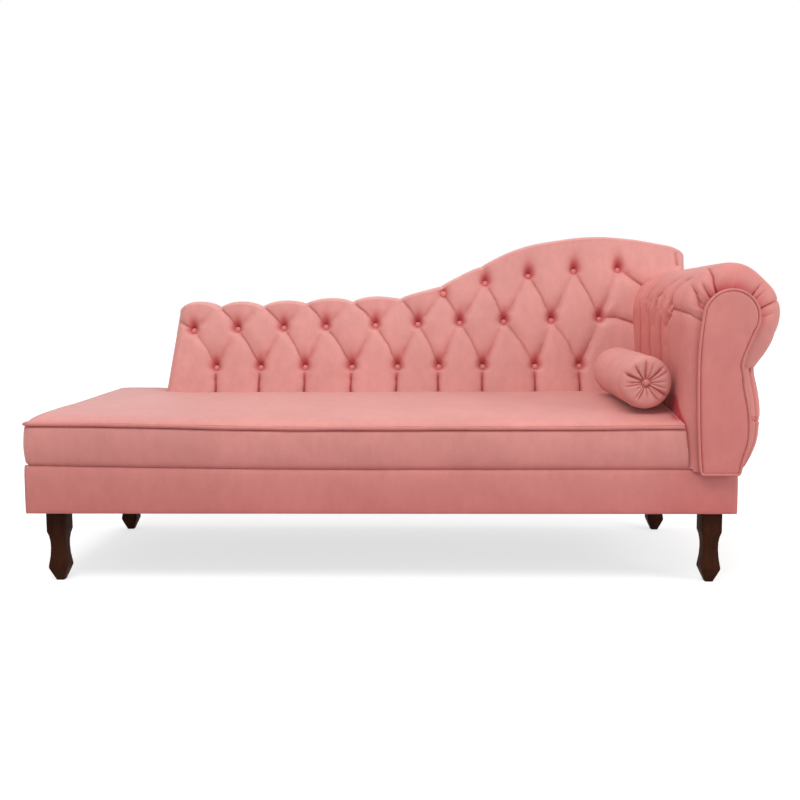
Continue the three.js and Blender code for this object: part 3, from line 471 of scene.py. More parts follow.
def woven(name, thread, gap, scale, roughness=0.9):
    """Coarse plain weave for webbing and the dust cover."""
    n = Surface(name)
    threads = n.maths("MULTIPLY", n.bands("X", scale), n.bands("Y", scale))
    mottled = n.ramp(n.noise(14.0), (0.35, grey(0.82)), (0.65, grey(1.1)))
    colour = n.multiply(1.0, n.ramp(threads, (0.1, gap), (0.6, thread)), mottled)
    return n.finish(Base_Color=colour, Normal=n.bump((threads, 0.5, 0.0006)), Roughness=roughness,
                    Specular_IOR_Level=0.15)


# deep coral that painted shade blends the cloth towards, and the most painted shade any point gets
CORAL_PAINTED_SHADE = srgb(186, 27, 45)
DARKEST_PAINTED_SHADE = 0.94
cloth = suede("coral_suede", srgb(214, 132, 125))
# lighter copies of the same cloth for the back, the seat and the bolster: painted light, for parts that stand
# more brightly lit
back_cloth_painted_lighter = suede("coral_suede_back", srgb(221, 152, 145), sheen=0.2)
seat_cloth_painted_lighter = suede("coral_suede_seat", srgb(219, 142, 135), sheen=0.6)
bolster_cloth_painted_lighter = suede("coral_suede_bolster", srgb(219, 146, 139), sheen=0.2)
welt_cloth = suede("coral_welt", srgb(208, 124, 117))
button_cloth = suede("coral_button", srgb(214, 128, 122))
dark_wood = timber("dark_stained_wood", srgb(78, 43, 28), srgb(48, 23, 14), 26.0, 0.6, 0.05, long_axis=2)
pine = timber("frame_pine", srgb(222, 190, 142), srgb(186, 146, 96), 14.0, 0.68)
ply = timber("plywood_sheet", srgb(219, 190, 148), srgb(190, 155, 108), 9.0, 0.7)
strap = woven("jute_webbing", srgb(72, 68, 62), srgb(30, 28, 26), 260.0)
underside = woven("dust_cloth", srgb(38, 38, 39), srgb(16, 16, 17), 420.0, 0.95)


def finish_nodes(material, *names):
    for name in names:
        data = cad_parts[name].data
        data.materials.clear()
        data.materials.append(material)


finish_nodes(pine, "rail_front", "rail_rear", "rail_left", "rail_right", "stretcher", "leg_board_left",
             "leg_board_right", "arm_roll_rail", "back_post_left", "back_post_middle", "back_post_right")
finish_nodes(ply, "back_board", "arm_front_board", "arm_rear_board")
finish_nodes(strap, "webbing")
finish_nodes(underside, "dust_cover")


# Legs: one curve on all four faces with eased corners

LEG_PROFILE = [
    (0, 0.43), (0.02, 0.45), (0.1, 0.7), (0.165, 0.885), (0.185, 0.94), (0.2, 0.95), (0.22, 0.94),
    (0.28, 0.87), (0.36, 0.79), (0.47, 0.74), (0.56, 0.76), (0.64, 0.85), (0.69, 0.96), (0.71, 1),
    (0.73, 1), (1, 1),
]


def leg(name, x, y):
    height, half = 186.0, 25.6
    ups = np.unique(np.r_[np.linspace(0, 0.8, 61), 0.17, 0.185, 0.2, 0.7, 0.71, 0.72, 0.9, 0.999])
    rings = []
    for up in ups:
        wide = half * float(linear(LEG_PROFILE, up))
        ease = min(3.2, wide * 0.3)
        if up < 0.01:
            wide -= 1.0
        flat = wide - ease
        corners = [on_circle(x + right * flat, y + rear * flat, ease, np.linspace(start, start + 90, 6))
                   for right, rear, start in ((1, 1, 0), (-1, 1, 90), (-1, -1, 180), (1, -1, 270))]
        rings.append(np.c_[np.vstack(corners), np.full(24, up * height)])
    obj = piece(name + "_turned", *lofted(rings), dark_wood, "leg_wood", instead=name)
    obj.data.set_sharp_from_angle(angle=math.radians(50))
    return obj


for side, leg_x in (("left", 65), ("right", BASE_LENGTH - 52.5)):
    leg(f"leg_front_{side}", leg_x, 55)
    leg(f"leg_rear_{side}", leg_x, BASE_DEPTH - 59)


# Base covers: padded strips with a rolled top edge, turned in under the frame

def cover_behind(up, s, edge, height):
    """Distance behind the face's plane at a share of the height and a length along the cover."""
    eased = 2.2 * math.exp(-up / 0.03) + 5.5 * math.exp(-(1 - up) / 0.08) + 1.4 * math.exp(-edge / 5)
    uneven = 0.35 * ripple(s, up * height * 2, 190, 11) - 0.5 * (1 - up) * up * ripple(s, 0.0, 60, 12)
    return max(0.4 + eased - 0.4 * math.sin(math.pi * up) + float(uneven), 0.05)


COVER_DEPTH = 8.0


def fold_rise(x):
    """How far the fold between cushion and base climbs towards the left end."""
    return 12.0 * (1 - np.clip(x / 850, 0, 1)) ** 1.6


def base_cover(name, start, end, inwards, instead):
    start, end, inwards = (np.array(v, float) for v in (start, end, inwards))
    run = np.linalg.norm(end - start)
    ups = np.r_[np.linspace(0, 0.12, 8)[:-1], np.linspace(0.12, 0.86, 12), np.linspace(0.86, 1, 10)[1:]]
    height = DECK_TOP - BASE_BOTTOM
    rows, shade = [], []
    for s in np.linspace(0, run, int(run / 7)):
        face = [(up, cover_behind(up, s, min(s, run - s), height)) for up in ups]
        ring = []
        for up, behind in face + [(1.0, COVER_DEPTH), (0.5, COVER_DEPTH), (0.0, COVER_DEPTH)]:
            x, y = start + (end - start) * s / run + inwards * behind
            ring.append((x, y, BASE_BOTTOM + up * height + up ** 3 * fold_rise(x)))
            # painted shade: darker towards the bottom, and under the facing at the right end
            painted = 0.26 * (1 - up) ** 1.2 + 0.13 * float(smooth(1540, 1680, x))
            shade.append(painted if behind < COVER_DEPTH else 0)
        rows.append(ring)
    piece(name, *lofted(rows), cloth, instead=instead, shade=shade)


base_cover("base_front_cloth", (0, 0), (BASE_LENGTH, 0), (0, 1), "base_cover_front")
base_cover("base_left_cloth", (0, 8.3), (0, REAR_FACE), (1, 0), "base_cover_left")
base_cover("base_right_cloth", (BASE_LENGTH, 8.3), (BASE_LENGTH, REAR_FACE), (-1, 0), "base_cover_right")


# Seat cushion

SEAT_CROWN = [(0, 0), (12, 9), (26, 14.4), (50, 19.8), (100, 25.2), (180, 30.4), (280, 35), (340, 37)]


def face_y(z):
    """Where the back's plane lies at a height."""
    return FACE_Y + (z - FACE_Z) * math.tan(RAKE)


def seat_sag(x, y):
    """The front edge hangs a little, from the left end on, and less towards the rear."""
    back = np.clip(y / FACE_Y, 0, 1)
    sag = -12 * smooth(60, 750, x) + 1.5 * smooth(1400, 1650, x)
    return sag * (1 - back) ** (2 + 2 * smooth(1300, 1550, x))


def seat_top(x, y):
    """The crown rises slowly from the front edge, faster from the left end and fastest at the rear."""
    left = x + np.maximum(x - 6, 0) * (1.6 + 6 * np.clip(y / BASE_DEPTH, 0, 1))
    rear = BASE_DEPTH - y + 8 * np.maximum(BASE_DEPTH - y - 6, 0)
    inset = np.stack([left, y, rear])
    blur = 9.0
    nearest = -blur * np.log(np.exp(-inset / blur).sum(0))
    crown = read_table(SEAT_CROWN, np.maximum(nearest, 0))
    uneven = 0.9 * ripple(x, y, 260, 21) + 0.35 * ripple(x, y, 90, 22)
    rear_left = 6 * np.clip((y - 250) / 400, 0, 1) * smooth(330, 150, x)
    return SEAT_HEIGHT + crown + seat_sag(x, y) + (uneven + rear_left) * smooth(0, 60, nearest)


def seat_plan(inset, length):
    """Rounded rectangle at a distance in from the seat's edge, with the same number of points each time."""
    radius = max(18 - inset, 3)
    low, high_x, high_y = inset, length - inset, BASE_DEPTH - inset
    corners = [(low + radius, low + radius, 180), (high_x - radius, low + radius, 270),
               (high_x - radius, high_y - radius, 0), (low + radius, high_y - radius, 90)]
    arcs = [on_circle(x, y, radius, np.linspace(start, start + 90, 7)) for x, y, start in corners]
    step = 7.0
    counts = [int(length / step), int(BASE_DEPTH / step)] * 2
    points = []
    for k, arc in enumerate(arcs):
        shares = np.linspace(0, 1, counts[k] + 1)[1:-1, None]
        points += [arc, mix(arc[-1], arcs[(k + 1) % 4][0], shares)]
    # the ring starts in the middle of the right side
    middle = 2 * len(arc) + counts[0] - 1 + counts[1] // 2
    return np.roll(np.vstack(points), -middle, axis=0)


def arm_cutter(high):
    """Body that ends the seat along the arm's inner face and the rounded front of its padding."""
    before = -60
    ys = np.r_[before, -8, np.linspace(FRONT_OF_ARM, FRONT_OF_ARM + FRONT_ROUND, 16), FAR_BEHIND]
    levels = (FAR_BELOW, SOFT_BOTTOM, SEAT_HEIGHT, SEAT_HEIGHT + 40, high)
    reach = np.interp(levels, (SOFT_BOTTOM, SEAT_HEIGHT, SEAT_HEIGHT + 40), (21, 9, 6))
    t = np.clip(1 - (ys - FRONT_OF_ARM) / FRONT_ROUND, 0, 1)
    room = 38 * (1 - np.sqrt(1 - t * t)) - 1.2
    rings = []
    for level, most in zip(levels, reach):
        x = ARM_INNER - 0.3 + np.clip(room, 0, most)
        plan = list(zip(x, ys)) + [(FAR_RIGHT, FAR_BEHIND), (FAR_RIGHT, before)]
        rings.append([(a, b, level) for a, b in plan])
    return capped(rings)


def seat():
    length = ARM_INNER + BASE_DEPTH / 2
    box_height = SEAT_HEIGHT - SOFT_BOTTOM
    rings, shade = [], []

    def ring(inset, up, sag, dark=0.0, top=False):
        plan = seat_plan(inset, length)
        x, y = plan[:, 0], plan[:, 1]
        z = seat_top(x, y) if top else SEAT_HEIGHT + up + sag * seat_sag(x, y)
        z = z + fold_rise(x) * min(max(-up / box_height, 0), 1) ** 2
        if top:
            # painted shade in the gap between the seat and the arm
            dark = DARKEST_PAINTED_SHADE * smooth(ARM_INNER - 22, ARM_INNER - 6, x)
            dark = dark * smooth(10, 40, y) * smooth(500, 400, y)
        else:
            wave = 0.8 * ripple(x + y, up * 2.0, 170, 31) * smooth(0, -25, up)
            wave = wave * smooth(-box_height, -box_height * 0.8, up)
            shift = np.stack([x - length / 2, (y - BASE_DEPTH / 2) * length / BASE_DEPTH], -1)
            sideways = np.abs(shift[:, :1]) > np.abs(shift[:, 1:])
            outward = np.where(sideways, [[1, 0]], [[0, 1]]) * np.sign(shift)
            x, y = x + outward[:, 0] * wave, y + outward[:, 1] * wave
        rings.append(np.stack([x, y, z], -1))
        shade.append(np.zeros(len(x)) + dark)

    ring(30, -box_height + 0.1, 0)
    ring(6, -box_height, 0)
    for share in np.linspace(0, 1, 26):
        up = -box_height + share * (box_height - 6.2)
        foot = 5.5 * math.exp(-share / 0.045)
        bulge = -5.0 * math.sin(math.pi * min(share * 0.95, 1)) ** 0.7
        tuck = 2.0 * math.exp(-(1 - share) / 0.04)
        # painted shade at the foot of the seat's front, darker towards the bottom
        dark = 0.35 * math.exp(-share / 0.05) + 0.2 * (1 - share) ** 1.3
        ring(foot + bulge + tuck, up, smooth(0, 0.9, share), dark)
    # painted shade in the groove under and beside the piping
    ring(3.5, -5.4, 1, 0.7)
    ring(5.5, -3, 1, 0.8)
    ring(5.5, 3, 1, 0.5)
    ring(4.6, 4.6, 1, 0.15)
    for inset in (6.5, 9, 12, 15, 19, 24, 30, 36, 43, 50, 58, 66, 74, 83, 92, 102, 113, 124, 136, 148, 160,
                  173, 186, 200, 214, 228, 243, 258, 273, 288, 303, 318, 332, 343):
        ring(inset, 0, 1, 0, top=True)
    obj = piece("seat_cushion_soft", *lofted(rings), seat_cloth_painted_lighter, instead="seat_cushion", fill=0.9,
                shade=np.concatenate(shade))
    high = SEAT_HEIGHT + 120
    cut(obj, *arm_cutter(high))
    # room for the back, whose left edge is rounded
    left, radius = BACK_LEFT - 1.5, 26.0
    rings = []
    for level in (FAR_BELOW, high):
        front = face_y(level) - 1.5
        turn = on_circle(left + radius, front + radius, radius, np.linspace(270, 180, 12)).tolist()
        plan = [(ARM_INNER + 30, front)] + turn + [(left, FAR_BEHIND), (ARM_INNER + 30, FAR_BEHIND)]
        rings.append([(x, y, level) for x, y in plan])
    cut(obj, *capped(rings))


seat()


def seat_piping():
    edge, radius = -0.6, 18.3
    near, far = edge + radius, BASE_DEPTH - edge - radius

    def straight(start, end, count):
        return mix(np.array(start), np.array(end), np.linspace(0, 1, count)[:, None])

    path = np.vstack([
        straight((ARM_INNER + 7.5, edge), (radius * 2, edge), 90),
        on_circle(near, near, radius, np.linspace(270, 180, 10)),
        straight((edge, radius * 1.5), (edge, BASE_DEPTH - radius * 1.5), 40),
        on_circle(near, far, radius, np.linspace(180, 90, 10)),
        straight((radius * 2, BASE_DEPTH - edge), (BACK_LEFT - 5.5, BASE_DEPTH - edge), 14),
    ])
    z = SEAT_HEIGHT + seat_sag(path[:, 0], path[:, 1])
    z += 0.5 * ripple(path[:, 0] + path[:, 1], z * 0, 120, 41)
    rings = tube_points(resample(np.c_[path, z], 6), 4.6)
    piece("seat_welt", *lofted(rings), welt_cloth, "piping", instead="seat_piping")


seat_piping()


# Back: its outline, its button rows and its tufted face

# share of the length, share of the rise
CREST = [(0, 0), (0.2, 0), (0.31, 0.04), (0.4, 0.065), (0.455, 0.075), (0.522, 0.22), (0.601, 0.535),
         (0.68, 0.825), (0.76, 0.955), (0.829, 1), (0.898, 0.955), (0.957, 0.87), (1, 0.8)]
VALLEYS = [379, 513, 648, 794, 943, 1067, 1191]
SCALLOPS = [19, 17, 12, 14, 8, 4, 4]
# how many folds run up to a valley of the crest before the upper buttons begin
FIRST_UPPER = 5
LEFT_TOP = BACK_LEFT + (BACK_LOW - FACE_Z) * math.tan(LEAN)


def crest(x):
    return BACK_LOW + read_table(CREST, (x - BACK_LEFT) / (BACK_RIGHT - BACK_LEFT)) * (BACK_PEAK - BACK_LOW)


def left_edge(z):
    return BACK_LEFT + np.maximum(z - FACE_Z, 0) * math.tan(LEAN)


def back_top(x):
    """Crest with a rounded bump between one valley and the next, as far as the rise."""
    x = np.asarray(x, float)
    ends = np.array([LEFT_TOP - 20.0] + VALLEYS + [1330.0])
    deep = np.array([0.0] + SCALLOPS + [0.0])
    k = np.clip(np.searchsorted(ends, x) - 1, 0, len(ends) - 2)
    t = np.clip((x - ends[k]) / (ends[k + 1] - ends[k]), 0, 1)
    dip = mix(deep[k], deep[k + 1], t) * np.abs(2 * t - 1) ** 2.2
    dip += 1.5 * np.exp(-np.abs(x[..., None] - np.array(VALLEYS)).min(-1) / 5) * (x < 1250)
    near_left = np.clip(1 - (x - LEFT_TOP) / 60, 0, 1)
    near_right = np.clip(1 - (BACK_RIGHT - x) / 60, 0, 1)
    return crest(x) - dip - 21 * near_left ** 2.9 - 16 * near_right ** 2.6


def on_face(node):
    """A back button's place on the face as x and z, its base's depth behind it, the base and its facing."""
    facing = np.array([0, -math.cos(RAKE), math.sin(RAKE)])
    base = middle_of(node) - facing * BUTTON_RISE / 2
    depth = (base[1] - face_y(base[2])) * math.cos(RAKE)
    return base[0], base[2] + depth * math.sin(RAKE), depth, base, facing


BUTTONS = {row: [on_face(f"back_button_{row}_{i + 1}") for i in range(count)]
           for row, count in (("low", 9), ("middle", 10), ("upper", 5))}


def bowed(start, end, right):
    """A fold's points, the middle one a little to the right and above the straight line."""
    return [start, (mix(start[0], end[0], 0.5) + right, mix(start[1], end[1], 0.5) + 3), end]


def back_tufting():
    tuft = Tufting()
    low, middle, upper = ([(b[0], b[1]) for b in BUTTONS[row]] for row in ("low", "middle", "upper"))
    rng = np.random.default_rng(17)
    upper = [(x, float(back_top(x)) + 4) for x in VALLEYS[:FIRST_UPPER]] + upper
    for i, (x, z) in enumerate(low):
        bend = rng.uniform(-4, 4)
        pleat = [(x, z), (x - 2 + bend * 0.4, 490), (x - 2 + bend, 458), (x - 3 + bend * 0.5, 400)]
        tuft.fold(pleat, (10, 8, 8), 12, (0, 9, 12, 12, 12), 2.4, 0.08, 0.02)
        crisp = 1.6 if i == 0 else 4.4
        tuft.fold(bowed(middle[i], (x, z), 4), (8, 3.5, 8), 13, (crisp, crisp, crisp + 1), 1.9)
        tuft.fold([(x, z), middle[i + 1]], (11, 7, 3, 1.5, 1), 13, (2, 2.5, 1.2, 0.2, 0), valley_shade=0.05,
                  peak=1.9)
    for i, (x, z) in enumerate(middle):
        if i > 0:
            start = 4 if i <= FIRST_UPPER else 8
            tuft.fold(bowed(upper[i - 1], (x, z), 3), (start, 3.5, 8), 13, (5, 5, 4.5), 1.9, 0.06)
        if i < FIRST_UPPER:
            depths, lines = (11, 6, 2, 0.5, 2), (1, 1, 0, 0, 0)
        else:
            depths, lines = (11, 7, 3, 2, 5), (1.5, 1.5, 0.3, 0, 0.5)
        tuft.fold([(x, z), upper[i]], depths, 13, lines, valley_shade=0.04, peak=1.9)
    tuft.fold([middle[0], (260, 668), (left_edge(672), 674)], (9, 6, 5), 11, (3, 5, 5))
    tuft.fold([middle[-1], (1604, 676), (1658, 658), (1720, 640)], (9, 7, 6), 13, (2, 7, 8), 2.4, 0.07)
    tuft.fold([upper[-1], (1644, 806), (1701, 765), (1750, 715)], (10, 7, 7), 13, (2, 7, 8), 2.4, 0.07)
    for x, z in upper[-3:]:
        tuft.fold([(x, z), (x + 2, z + 48)], (15, 6, 0), 10, valley_shade=0.03)
    for x, z in upper[5:7]:
        tuft.fold([(x, z), (x - 5, float(back_top(x)) + 10)], (13, 8, 6), 11, (0, 1, 2))
    tuft.fold([(1793, 868), (1797, 832)], (4, 4), 9, (3, 6), 2.2)
    for row in BUTTONS.values():
        for x, z, depth, _, _ in row:
            tuft.hollow((x, z), depth + 1.0)
    return tuft


PAD_THICKNESS = 49.5


def back_pad():
    tuft = back_tufting()
    ends = np.r_[0, 0.4, 1.2, 2.5, 4.2, 6.5, 9.5, 13, 17, 21.5]
    span = BACK_RIGHT - BACK_LEFT
    shares = np.r_[ends / span, np.linspace(25, span - 25, 620) / span, 1 - ends[::-1] / span]
    columns, rows = len(shares), 180
    rear = REAR_FACE - 0.3
    # the face is tufted from here up, its foot is plain and lies behind the seat
    tufted_from = 400
    plain = np.r_[SOFT_BOTTOM, 340, 380, tufted_from]
    base_x = mix(LEFT_TOP, BACK_RIGHT, shares)
    top = back_top(base_x)
    shoulder = top - TOP_RADIUS
    tufted = mix(tufted_from, shoulder[:, None], np.linspace(0, 1, rows)[None, 1:])
    levels = np.concatenate([np.repeat(plain[None], columns, 0), tufted], 1)
    left = left_edge(levels)
    x = left + (BACK_RIGHT - left) * shares[:, None]
    depth, puff, dark = tuft.depth(x, levels)
    depth = depth - 3.5 * puff - 0.8 * ripple(x, levels, 150, 51) - 0.25 * ripple(x, levels, 45, 52)
    depth = mix(1.0, depth, smooth(tufted_from - 2, tufted_from + 12, levels))
    away_left = x - left
    away_right = BACK_RIGHT - x
    radius = 26.0
    for away in (away_left, away_right):
        t = np.clip(1 - away / radius, 0, 1)
        depth = depth * (1 - t ** 2) + radius * (1 - np.sqrt(1 - t ** 2))
    front = np.stack([x, face_y(levels) + depth * math.cos(RAKE), levels - depth * math.sin(RAKE)], -1)
    # painted shade from the tufting's creases and hollows, none at the rounded ends
    near_end = np.clip(1 - np.minimum(away_left, away_right) / 12, 0, 1)
    hollow = np.clip(dark, 0, DARKEST_PAINTED_SHADE) * (1 - near_end)
    # over the top to the rear, keeping the creases' depth at the shoulder and fading it
    edge = front[:, -1]
    summit = 0.42
    over = []
    for angle in np.linspace(0, math.pi, 26)[1:]:
        if angle <= math.pi / 2:
            y = mix(edge[:, 1], rear, summit * (1 - math.cos(angle)))
            z = mix(edge[:, 2], top, math.sin(angle) ** 0.62)
        else:
            y = mix(edge[:, 1], rear, summit - (1 - summit) * math.cos(angle))
            z = top - TOP_RADIUS * 0.5 * (1 - math.sin(angle))
        over.append(np.stack([edge[:, 0], y, z], -1))
    over = np.stack(over, 1)
    fallen = np.linspace(0, 1, 24)[1:]
    start = over[:, -1]
    foot = np.stack([x[:, 0], start[:, 1], np.full(columns, SOFT_BOTTOM)], -1)
    down = np.stack([mix(start, foot, t) for t in fallen], 1)
    # behind the padding's middle the body stops at the board
    pad_rear = face_y(down[:, :, 2]) + PAD_THICKNESS
    inner = smooth(30, 34, np.minimum(base_x - base_x[0], base_x[-1] - base_x))[:, None]
    below = smooth(0.0, 0.12, fallen)[None, :] > 0.3
    down[:, :, 1] = mix(down[:, :, 1], np.minimum(pad_rear, down[:, :, 1]), inner * below)
    rings = np.concatenate([front, over, down], 1)
    shade = np.zeros(rings.shape[:2])
    shade[:, :hollow.shape[1]] = hollow
    obj = piece("back_pad_soft", *lofted(rings), back_cloth_painted_lighter, instead="back_pad", fill=0.75, shade=shade)
    # it ends inside the arm's padding
    hidden = 13.0
    arc = on_circle(ROLL_X, ROLL_Z, ROLL_RADIUS - hidden, np.linspace(180, 40, 30)).tolist()
    section = [(ARM_INNER + hidden, FAR_BELOW)] + arc + [(FAR_RIGHT, ROLL_Z), (FAR_RIGHT, FAR_BELOW)]
    far_before = 300
    cut(obj, *prism(section, far_before, FAR_BEHIND))
    # what the cut leaves below the roll is drawn in to the same plane
    spots = np.empty(len(obj.data.vertices) * 3)
    obj.data.vertices.foreach_get("co", spots)
    spots = spots.reshape(-1, 3)
    below = spots[:, 2] < ORIGIN[2] + ROLL_Z / MILLIMETRES
    spots[below, 0] = np.minimum(spots[below, 0], ORIGIN[0] + (ARM_INNER + hidden) / MILLIMETRES)
    obj.data.vertices.foreach_set("co", spots.ravel())


back_pad()


# Covered buttons

# share of the radius, share of the height
BUTTON_PROFILE = [(0, 0), (0.84, 0), (0.95, 0.1), (1, 0.26), (0.97, 0.45), (0.88, 0.64), (0.72, 0.8),
                  (0.5, 0.92), (0.25, 0.985), (0, 1)]


def button(name, base, facing, seed, radius=9.3, body="couch", instead=None):
    """A cloth-covered dome with small puckers where the cloth turns under."""
    turn = np.array(Vector(facing).normalized().to_track_quat("Z", "Y").to_matrix())
    phase = np.random.default_rng(seed).uniform(0, math.tau)
    count = 40
    angles = np.arange(count) / count * math.tau
    across, up = np.array(BUTTON_PROFILE).T[..., None]
    spread = across * radius * (1 + 0.03 * np.sin(angles * 11 + phase) * np.exp(-((up - 0.2) / 0.2) ** 2))
    rings = np.stack([np.cos(angles) * spread, np.sin(angles) * spread, up * BUTTON_RISE + 0 * angles], -1)
    rings = rings @ turn.T + base
    points = np.concatenate([rings[0, :1], rings[1:-1].reshape(-1, 3), rings[-1, :1]])
    rows, last = len(rings) - 2, len(points) - 1
    start = last - count
    faces = [[1 + i, 1 + (i + 1) % count, 0] for i in range(count)]
    faces += grid_faces(rows, count, closed=True, offset=1)
    faces += [[start + (i + 1) % count, start + i, last] for i in range(count)]
    # painted shade on the rim where the button sits down in the cloth
    dark = np.zeros(len(points))
    dark[1:1 + count] = 0.6
    piece(name, points, faces, button_cloth, "buttons", body=body, instead=instead, shade=dark)


seed = 100
for row, found in BUTTONS.items():
    for i, (_, _, _, base, facing) in enumerate(found):
        seed += 1
        # the first two of the upper row are nearly buried in their hollows
        sunk = {("upper", 0): 5.5, ("upper", 1): 2.5}.get((row, i), 0.0)
        button(f"back_{row}_button_{i + 1}_covered", base - sunk * facing, facing,
               instead=f"back_button_{row}_{i + 1}", seed=seed)


# Scroll arm: outline from the foot of its inner face, over the roll, to the neck and down the outer side

NECK_Z, NECK_PROUD, BELLY_PROUD = 545.0, 40.0, 58.5
STRAIGHT_TOP = ROLL_Z + 12
START_DEGREES, END_DEGREES = 180 - math.degrees(math.asin((STRAIGHT_TOP - ROLL_Z) / ROLL_RADIUS)), -25.0
BUTTON_FACING = np.array([math.cos(math.radians(START_DEGREES)), 0, math.sin(math.radians(START_DEGREES))])
# the roll's last part, towards the neck, is fuller than a circle: across and down from its centre
roll_tail = [(ROLL_X + across * ROLL_RADIUS, ROLL_Z - down * ROLL_RADIUS)
             for across, down in ((0.84, 0.62), (0.7, 0.86), (0.61, 0.98))]
# shares of how far it stands out and of its height
OUTER_SIDE = [(0.68, 1), (0.79, 0.9), (0.91, 0.78), (1, 0.6), (1, 0.44), (0.95, 0.29), (0.78, 0.17),
              (0.5, 0.05), (0.37, 0)]
HEAD_X, HEAD_Z, HEAD_RADIUS = ARM_INNER + 110, 675.0, 64.5
FACING_LEFT, FACING_Y, FACING_BACK = ARM_INNER + 38, -24.3, -4.3
FACING_NECK, FACING_FOOT, FACING_PROUD = NECK_Z + 21, SOFT_BOTTOM - 10, 14.5
FACING_SIDE = [(-0.45, 1), (-0.24, 0.9), (0.03, 0.765), (0.65, 0.604), (1, 0.466), (1, 0.275), (0.52, 0.18),
               (-0.17, 0.04)]


def smooth_curve(points, count):
    """Catmull-Rom curve through points, sampled evenly by length."""
    p = np.asarray(points, float)
    p = np.vstack([2 * p[0] - p[1], p, 2 * p[-1] - p[-2]])
    fine = []
    for k in range(1, len(p) - 2):
        t = np.linspace(0, 1, 24, endpoint=False)[:, None]
        fine.append(0.5 * (2 * p[k] + (p[k + 1] - p[k - 1]) * t
                           + (2 * p[k - 1] - 5 * p[k] + 4 * p[k + 1] - p[k + 2]) * t ** 2
                           + (3 * p[k] - p[k - 1] - 3 * p[k + 1] + p[k + 2]) * t ** 3))
    return evenly(np.vstack(fine + [p[-2][None]]), count)


def outer_side(bottom):
    """The arm's outer side from its neck over the belly down to the base."""
    return [(BASE_LENGTH + (NECK_PROUD if i == 0 else proud * BELLY_PROUD), mix(bottom, NECK_Z, up))
            for i, (proud, up) in enumerate(OUTER_SIDE)]


facing_side = [(BASE_LENGTH + proud * FACING_PROUD, mix(SOFT_BOTTOM, FACING_NECK, up))
               for proud, up in FACING_SIDE]
facing_left = [(FACING_LEFT + 9.5, FACING_FOOT), (FACING_LEFT + 3.5, SOFT_BOTTOM + 60),
               (FACING_LEFT, mix(SOFT_BOTTOM, NECK_Z, 0.6)), (FACING_LEFT - 1.5, NECK_Z + 38)]
facing_head = on_circle(HEAD_X, HEAD_Z, HEAD_RADIUS, np.linspace(171.4, -36, 14)).tolist()


def facing_outline(count):
    """The facing's edge from its lower left corner, over the head, to its lower right corner."""
    corner = [(facing_side[-1][0] - 3, FACING_FOOT)]
    return smooth_curve(facing_left + facing_head + facing_side + corner, count)


def arm_button_base(i):
    return middle_of(f"arm_button_{i + 1}") - BUTTON_FACING * BUTTON_RISE / 2


